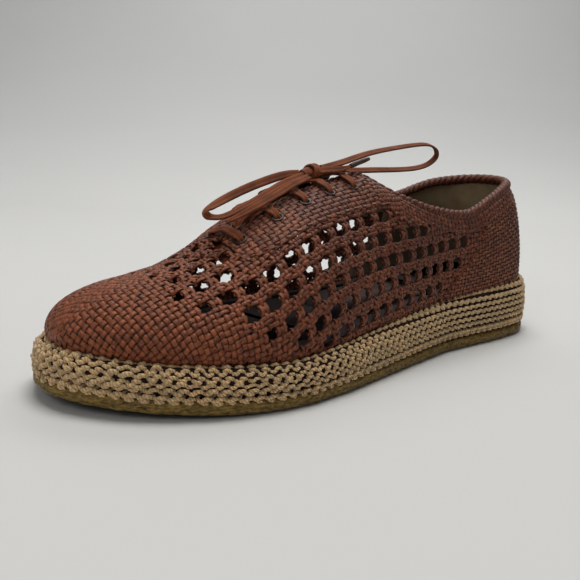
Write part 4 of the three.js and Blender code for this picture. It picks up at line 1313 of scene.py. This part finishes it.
EYELET_PROFILE = np.array([
    (1.7, -1.9), (2.1, -1.9), (2.15, -0.4), (2.2, 0.9), (2.55, 0.95), (2.75, 1.15), (2.65, 1.4), (2.3, 1.5),
    (1.9, 1.4), (1.72, 1.1),
]) * 0.001
eyelets = {}
for index in range(EYELETS_A_SIDE):
    for side, side_name in ((1, "lateral"), (-1, "medial")):
        place = eyelet_place(index, side)
        eyelets[index, side] = place
        normal = place["normal"]
        across = unit(np.cross(normal, (0.3, 0.9, 0.1)))
        other = np.cross(normal, across)
        turn = np.linspace(0, 2 * math.pi, RING_STEPS, endpoint=False)
        spoke = np.cos(turn)[:, None] * across + np.sin(turn)[:, None] * other
        ring = (
            place["point"]
            + spoke[:, None] * EYELET_PROFILE[None, :, :1]
            + normal * EYELET_PROFILE[None, :, 1:]
        )
        faces = grid_faces(RING_STEPS, len(EYELET_PROFILE), wrap=True)
        last = grid_faces(2, len(EYELET_PROFILE), wrap=True)
        sides = len(EYELET_PROFILE)
        last = np.where(last >= sides, last - sides, last + (RING_STEPS - 1) * sides)
        builder = Builder()
        builder.add(ring.reshape(-1, 3), np.concatenate([faces, last]))
        made = builder.piece(f"ring_{side_name}_{index + 1}", dark_metal, "dark_metal")
        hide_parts(f"eyelet_{side_name}_{index + 1}")

# %% [markdown]
# The first strand runs straight across. Each later pair comes from beside the eyelet before, on
# the other side, and crosses over the tongue.

# %% Lacing
LACING_WIDTH, LACING_THICKNESS = 0.0042, 0.0011


def over_edge(place, share, height):
    rise = place["rise"] + (1 - place["rise"]) * share
    side = np.array(float(place["side"]))
    normal = surface_normal(np.array(place["station"]), np.array(rise), side)
    return surface_point(np.array(place["station"]), np.array(rise), side) + normal * height, normal


def lace_half(place):
    """Points, facings and widths from the throat edge down into the eyelet."""
    edge, edge_up = over_edge(place, 1.0, 0.0030)
    middle, middle_up = over_edge(place, 0.5, 0.0026)
    point, normal = place["point"], place["normal"]
    outward = unit(point - over_edge(place, 0.6, 0.0)[0])
    return (
        [edge, middle, point - outward * 0.0017 + normal * 0.0027, point + outward * 0.0002 + normal * 0.0013,
         point + outward * 0.0002 - normal * 0.0022],
        [edge_up, middle_up, unit(normal + outward * 0.5), unit(outward + normal * 0.3), outward],
        [1.0, 1.0, 0.9, 0.66, 0.6],
    )


for index in range(EYELETS_A_SIDE):
    builder = Builder()
    if index == 0:
        near_half, far_half = lace_half(eyelets[0, 1]), lace_half(eyelets[0, -1])
        parts = [near_half[k][::-1] + far_half[k] for k in range(3)]
        strands = [parts]
    else:
        strands = []
        for side in (1, -1):
            place, other = eyelets[index, side], eyelets[index - 1, -side]
            half = lace_half(place)
            far, far_up = over_edge(other, 1.0, 0.0)
            edge = half[0][0]
            deep = edge * 0.3 + far * 0.7 - far_up * 0.0012
            middle = edge * 0.55 + far * 0.45 + far_up * (0.0016 if side > 0 else 0.0008)
            strands.append(([deep, middle] + half[0], [far_up, far_up] + half[1], [0.9, 1.0] + half[2]))
    for points, facings, widths in strands:
        path = smooth_path(points, 6)
        normals = unit(smooth_path(facings, 6))
        sizes = smooth_path(np.array(widths)[:, None], 6)[:, 0] * LACING_WIDTH
        sweep(builder, path, normals, sizes, LACING_THICKNESS, RIBBON_SECTION)
    made = builder.piece(f"lacing_{index + 1}", lace_cloth, "lace_cloth")
    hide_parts(f"lace_crossing_{index + 1}")

# %% [markdown]
# ## Tongue and insole
# The tongue is a thin leather sheet under the throat, and the insole a soft slab inside. Both
# follow the last, a little inside the wall.

# %% Tongue
TONGUE_DEPTH, TONGUE_THICK = 0.0026, 0.0015
tongue_rows = np.linspace(float(station_of(THROAT_FRONT + 0.025)), float(station_of(0.5)), 90)
tongue_rises = np.linspace(0.76, 1, 14)
tongue_lines = []
for side in (1, -1):
    grid_s, grid_r = np.meshgrid(tongue_rows, tongue_rises, indexing="ij")
    sides = np.full(grid_s.shape, float(side))
    points, normals = surface_point(grid_s, grid_r, sides), surface_normal(grid_s, grid_r, sides)
    tongue_lines.append((points, normals) if side > 0 else (points[:, ::-1], normals[:, ::-1]))
tongue_points = np.concatenate([tongue_lines[0][0], tongue_lines[1][0]], 1)
tongue_normals = unit(np.concatenate([tongue_lines[0][1], tongue_lines[1][1]], 1))
tongue_count = tongue_points.shape[1]
edge_share = np.sin(np.linspace(0, math.pi, tongue_count)) ** 0.2
end_share = np.clip(np.sin(np.linspace(0.02, math.pi - 0.02, 90)) * 6, 0, 1) ** 0.5
body = TONGUE_THICK * edge_share[None, :] * end_share[:, None]
outer_face = tongue_points - tongue_normals * (TONGUE_DEPTH + (TONGUE_THICK - body) / 2)[..., None]
inner_face = outer_face - tongue_normals * body[..., None]
builder = Builder()
flat = grid_faces(90, tongue_count)
count = 90 * tongue_count
rim = np.concatenate([
    np.arange(tongue_count), np.arange(1, 90) * tongue_count + tongue_count - 1,
    (89 * tongue_count + np.arange(tongue_count - 2, -1, -1)), np.arange(88, 0, -1) * tongue_count,
])
rim_next = np.roll(rim, -1)
walls = np.stack([rim_next, rim, rim + count, rim_next + count], 1)
builder.add(np.concatenate([outer_face.reshape(-1, 3), inner_face.reshape(-1, 3)]),
            np.concatenate([flat[:, ::-1], flat + count, walls[:, ::-1]]))
tongue = builder.piece("tongue_sheet", tongue_leather, "woven_leather")
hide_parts("tongue")

# %% [markdown]
# The insole and the outsole are stacks of closed rings that keep a distance from the sole's
# outline, with flat caps below and above.

# %% Rings that follow the sole
def sole_rings(rings, count=150):
    """Points of closed rings round the sole; each ring is an inset and a height as a function of x."""
    stations = (1 - np.cos(np.linspace(0, math.pi, count))) / 2
    stations = np.linspace(0, 1, count) * 0.7 + stations * 0.3
    around_station = np.concatenate([stations, stations[::-1][1:-1]])
    around_side = np.concatenate([np.ones(count), -np.ones(count - 2)])
    found = []
    for inset, height in rings:
        flat_place = inset_point(around_station, around_side, np.full(len(around_station), inset))
        found.append(np.concatenate([flat_place, height(flat_place[:, 0])[:, None]], 1))
    return np.stack(found), around_station, around_side


def capped(builder, rings):
    """Adds stacked closed rings with flat caps made of strips across."""
    levels, around = rings.shape[:2]
    half = around // 2
    faces = [grid_faces(levels, around, wrap=True)]
    for level, turned in ((0, False), (levels - 1, True)):
        base = level * around
        for k in range(half):
            left, left_next = base + k, base + k + 1
            right, right_next = base + (around - k) % around, base + around - k - 1
            quad = [left, left_next, right_next, right]
            faces.append(np.array([quad if not turned else quad[::-1]]))
    builder.add(rings.reshape(-1, 3), np.concatenate(faces))


INSOLE_THICK, INSOLE_CLEARANCE = 0.0025, 0.0004
insole_inset = FEATHER_INSET + WALL + INSOLE_CLEARANCE
insole_levels = [
    (insole_inset + 0.0012, lambda x: feather_at(x)),
    (insole_inset + 0.0002, lambda x: feather_at(x) + 0.0004),
    (insole_inset, lambda x: feather_at(x) + 0.0012),
    (insole_inset + 0.0003, lambda x: feather_at(x) + INSOLE_THICK - 0.0004),
    (insole_inset + 0.0014, lambda x: feather_at(x) + INSOLE_THICK),
    (insole_inset + 0.0100, lambda x: feather_at(x) + INSOLE_THICK - 0.0002),
]
insole_rings, _, _ = sole_rings(insole_levels)
builder = Builder()
capped(builder, insole_rings)
insole = builder.piece("insole_pad", backing_painted_shade, "lining")
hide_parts("insole")

# %% [markdown]
# ## The sole
# The midsole is covered by a thick knitted cord whose purl side shows. Each stitch bows out and
# turns back into the next one, and each row hooks into the row below it, a little less at the
# heel. Under it lies a thin crepe outsole with a crinkled edge.

# %% Midsole knit
STITCHES, KNIT_ROWS, KNIT_STEPS = 132, 8, 12


def midsole_bottom(x):
    """Where the knit begins: towards the toe it hangs a little over the outsole."""
    return OUTSOLE_THICKNESS + LAYER_GAP - 0.0021 * np.clip((x + 0.02) / 0.1, 0, 1) + spring_at(x)


def rows_here(x):
    """More courses fit the tall heel; towards the toe the upper ones run in under the shoe."""
    return 6.1 + 2.0 * np.clip((0.03 - x) / 0.15, 0, 1)


KNIT_SHARES = (0.0, 0.16, 0.48, 0.78, 0.94, 1.0)
KNIT_INSETS = (0.0, -0.0003, -MIDSOLE_BULGE, MIDSOLE_ROUND * 0.1, MIDSOLE_ROUND * 0.45,
               MIDSOLE_ROUND)


def midsole_point(station, side, share, out):
    """A place on the midsole's side: share 0 at the outsole, 1 at the top rim, and beyond 1 over the rim."""
    inset = np.interp(share, KNIT_SHARES, KNIT_INSETS) + np.maximum(0, share - 1) * 0.012
    sideways = np.clip(1.15 - np.maximum(0, share - 0.85) * 4, 0.1, 1)
    flat_place = inset_point(station, side, inset - out * sideways)
    low = midsole_bottom(flat_place[..., 0])
    high = feather_at(flat_place[..., 0]) - LAYER_GAP
    z = low + (high - low) * np.minimum(share, 1) + out * np.clip((share - 0.85) * 5, 0, 1)
    z = z - np.maximum(0, share - 1.1) * 0.02
    return np.concatenate([flat_place, z[..., None]], -1)


edge_stations = np.linspace(0, 1, 1200)
edge_run = {}
for side in (1.0, -1.0):
    line = edge_point(edge_stations, np.full(1200, side))
    edge_run[side] = np.concatenate([[0], np.cumsum(np.linalg.norm(np.diff(line, axis=0), axis=1))])
around_length = edge_run[1.0][-1] + edge_run[-1.0][-1]
print("sole edge length", round(float(around_length), 4), "m, stitches", STITCHES)


def around_to_edge(distance):
    distance = np.mod(distance, around_length)
    outer = distance <= edge_run[1.0][-1]
    first = np.interp(distance, edge_run[1.0], edge_stations)
    second = np.interp(around_length - distance, edge_run[-1.0], edge_stations)
    return np.where(outer, first, second), np.where(outer, 1.0, -1.0)


builder = Builder()
pitch = around_length / STITCHES
turns = np.arange(STITCHES * KNIT_STEPS) / KNIT_STEPS * 2 * math.pi
for row in range(KNIT_ROWS):
    wobble = spread(random.normal(0, 1, STITCHES), len(turns))[:, 0]
    second = spread(random.normal(0, 1, STITCHES), len(turns))[:, 0]
    x_here = edge_point(*around_to_edge(turns / (2 * math.pi) * pitch))[:, 0]
    loose = np.clip(x_here / 0.1, 0.2, 1)
    courses = rows_here(x_here)
    phase = wobble * 0.22 * loose
    heel = np.clip((0.03 - x_here) / 0.09, 0, 1)
    lean = (0.17 + 0.06 * heel) * (1 if row % 2 else -1)
    distance = turns / (2 * math.pi) * pitch + 0.12 * pitch * row
    distance = distance + pitch * (0.17 - 0.05 * heel) * np.sin(2 * turns + phase)
    distance = distance + pitch * lean * np.cos(turns + phase)
    height = (0.50 if row == 0 else 0.78) * (1 - 0.20 * heel)
    height = height * np.cos(turns + phase) * (1 + 0.10 * second * loose)
    share = (row + 0.62 + height + 0.04 * wobble * loose) / (courses - 0.5)
    share = np.maximum(0.07, share)
    out = -0.0005 + 0.0012 * np.cos(2 * turns + phase) + 0.0003 * second * loose
    station, side = around_to_edge(distance)
    course = (feather_at(edge_point(station, side)[:, 0]) - OUTSOLE_THICKNESS) / (courses - 0.65)
    strand = np.clip(course * (0.66 - 0.06 * heel), 0.0015, 0.0022) * (1 + 0.06 * second * loose)
    path = midsole_point(station, side, share, out)
    outward = midsole_point(station, side, share, out + 0.002) - path
    # Painted light and shade: the tone is highest where a stitch bows out and lowest where it turns in; the
    # noise added next is random yarn tone.
    tone = 0.5 + 0.42 * np.cos(2 * turns + phase)
    tone = np.clip(tone + 0.12 * spread(random.normal(0, 1, 90), len(turns))[:, 0], 0, 1)
    sweep(builder, path, unit(outward), strand, strand * 0.92, ring_section(6), tone, closed=True)
builder.piece("midsole_knit", midsole_yarn, "cord_cover")

# %% [markdown]
# Rings round off the outsole's edge, and a few waves of random length crinkle it. The midsole under the knit
# is the CAD solid itself in a near-black colour, painted shade between the stitches.

# %% Outsole
outsole_rings, outsole_station, outsole_side = sole_rings([
    (inset, (lambda level: lambda x: OUTSOLE_THICKNESS * level + spring_at(x))(level))
    for inset, level in (
        (0.0016, 0.0), (0.0004, 0.05), (-0.0004, 0.15), (-0.0009, 0.3), (-0.0011, 0.45), (-0.0011, 0.6),
        (-0.0010, 0.74), (-0.0004, 0.86), (0.0006, 0.95), (0.0020, 1.0), (0.0040, 1.02),
    )
], 420)
crinkle_waves = [
    (random.uniform(300, 1500), random.uniform(-900, 900), random.uniform(0, 6.3)) for _ in range(14)
]
edge_distance = np.concatenate([[0], np.cumsum(np.linalg.norm(np.diff(outsole_rings[4], axis=0), axis=1))])
crinkle_sum = np.zeros(outsole_rings.shape[:2])
for fast, tall, begin in crinkle_waves:
    crinkle_sum += np.sin(edge_distance[None, :] * fast + outsole_rings[..., 2] * tall + begin) / 14
side_normals = edge_normal(outsole_station, outsole_side)
side_normals = np.concatenate([side_normals, np.zeros((len(side_normals), 1))], 1)
outsole_rings[1:-1] += side_normals[None] * (crinkle_sum[1:-1] * 0.0011)[..., None]
outsole_rings[7:, :, 2] += crinkle_sum[7:] * 0.0004
builder = Builder()
capped(builder, outsole_rings)
outsole = builder.piece("outsole_crepe", crepe_rubber, "crepe")
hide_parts("outsole")

midsole_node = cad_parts["midsole"]
midsole_node.data.materials.clear()
midsole_node.data.materials.append(midsole_painted_shade)

# %% [markdown]
# ## Floor and light
# A plain pale sweep of paper carries the shoe. Light is soft and comes from above.

# %% Floor
paint = Paint("paper", roughness=0.85, specular=0.2)
paper_color = paint.mix(paint.noise(3, 2), (0.60, 0.605, 0.60, 1), (0.64, 0.64, 0.635, 1))
paper = paint.finish(paper_color)
toward = -Vector((back.x, back.y, 0)).normalized()
sideways = Vector((-toward.y, toward.x, 0))
profile = [
    (-2.0, 0.0), (0.3, 0.0), (0.7, 0.02), (1.2, 0.12), (1.7, 0.32),
    (2.1, 0.65), (2.4, 1.1), (2.5, 1.8), (2.5, 2.6),
]
profile = smooth_path([(a, 0.0, b) for a, b in profile], 8)
sweep_points = []
for place in profile:
    for across in (-4.0, 4.0):
        point = toward * float(place[0]) + sideways * across
        sweep_points.append((point.x, point.y, float(max(0.0, place[2]))))
floor_mesh = bpy.data.meshes.new("floor")
floor_mesh.from_pydata(sweep_points, [], [tuple(f) for f in grid_faces(len(profile), 2)[:, ::-1].tolist()])
floor_mesh.polygons.foreach_set("use_smooth", [True] * len(floor_mesh.polygons))
floor_mesh.materials.append(paper)
floor = bpy.data.objects.new("floor", floor_mesh)
bpy.context.scene.collection.objects.link(floor)
floor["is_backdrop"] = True

# %% [markdown]
# The main light hangs overhead, two weak ones stand in front and behind, and one lights the paper
# behind the shoe. A pale sky fills the shadows.

# %% Lights
def area_light(name, place, aim, size, power, color=(1, 1, 1)):
    light = bpy.data.lights.new(name, "AREA")
    light.shape = "DISK"
    light.size = size
    light.energy = power
    light.color = color
    holder = bpy.data.objects.new(name, light)
    holder.location = place
    holder.rotation_euler = (Vector(aim) - Vector(place)).to_track_quat("-Z", "Y").to_euler()
    bpy.context.scene.collection.objects.link(holder)


area_light("overhead", (-0.05, -0.1, 1.5), (0, 0, 0), 0.9, 15.0, (1.0, 0.99, 0.96))
area_light("front", (0.9, 0.35, 0.7), (0.05, 0, 0.04), 0.5, 1.6, (1.0, 0.98, 0.95))
area_light("rear", (-0.7, -0.3, 0.9), (0, 0, 0.05), 0.5, 1.8, (1.0, 0.99, 0.97))
area_light("backdrop", (-1.1, -1.1, 1.7), (-1.5, -1.5, 0), 1.4, 10)
world = bpy.data.worlds.new("world")
bpy.context.scene.world = world
world.use_nodes = True
sky = world.node_tree.nodes["Background"]
sky.inputs["Color"].default_value = (0.81, 0.80, 0.785, 1)
sky.inputs["Strength"].default_value = 0.27
bpy.context.scene.view_settings.view_transform = "Standard"

# %% Finish
visual_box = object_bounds()
sizes = {"cad": [list(corner) for corner in cad_box], "visual": [list(corner) for corner in visual_box]}
print("boxes", sizes)
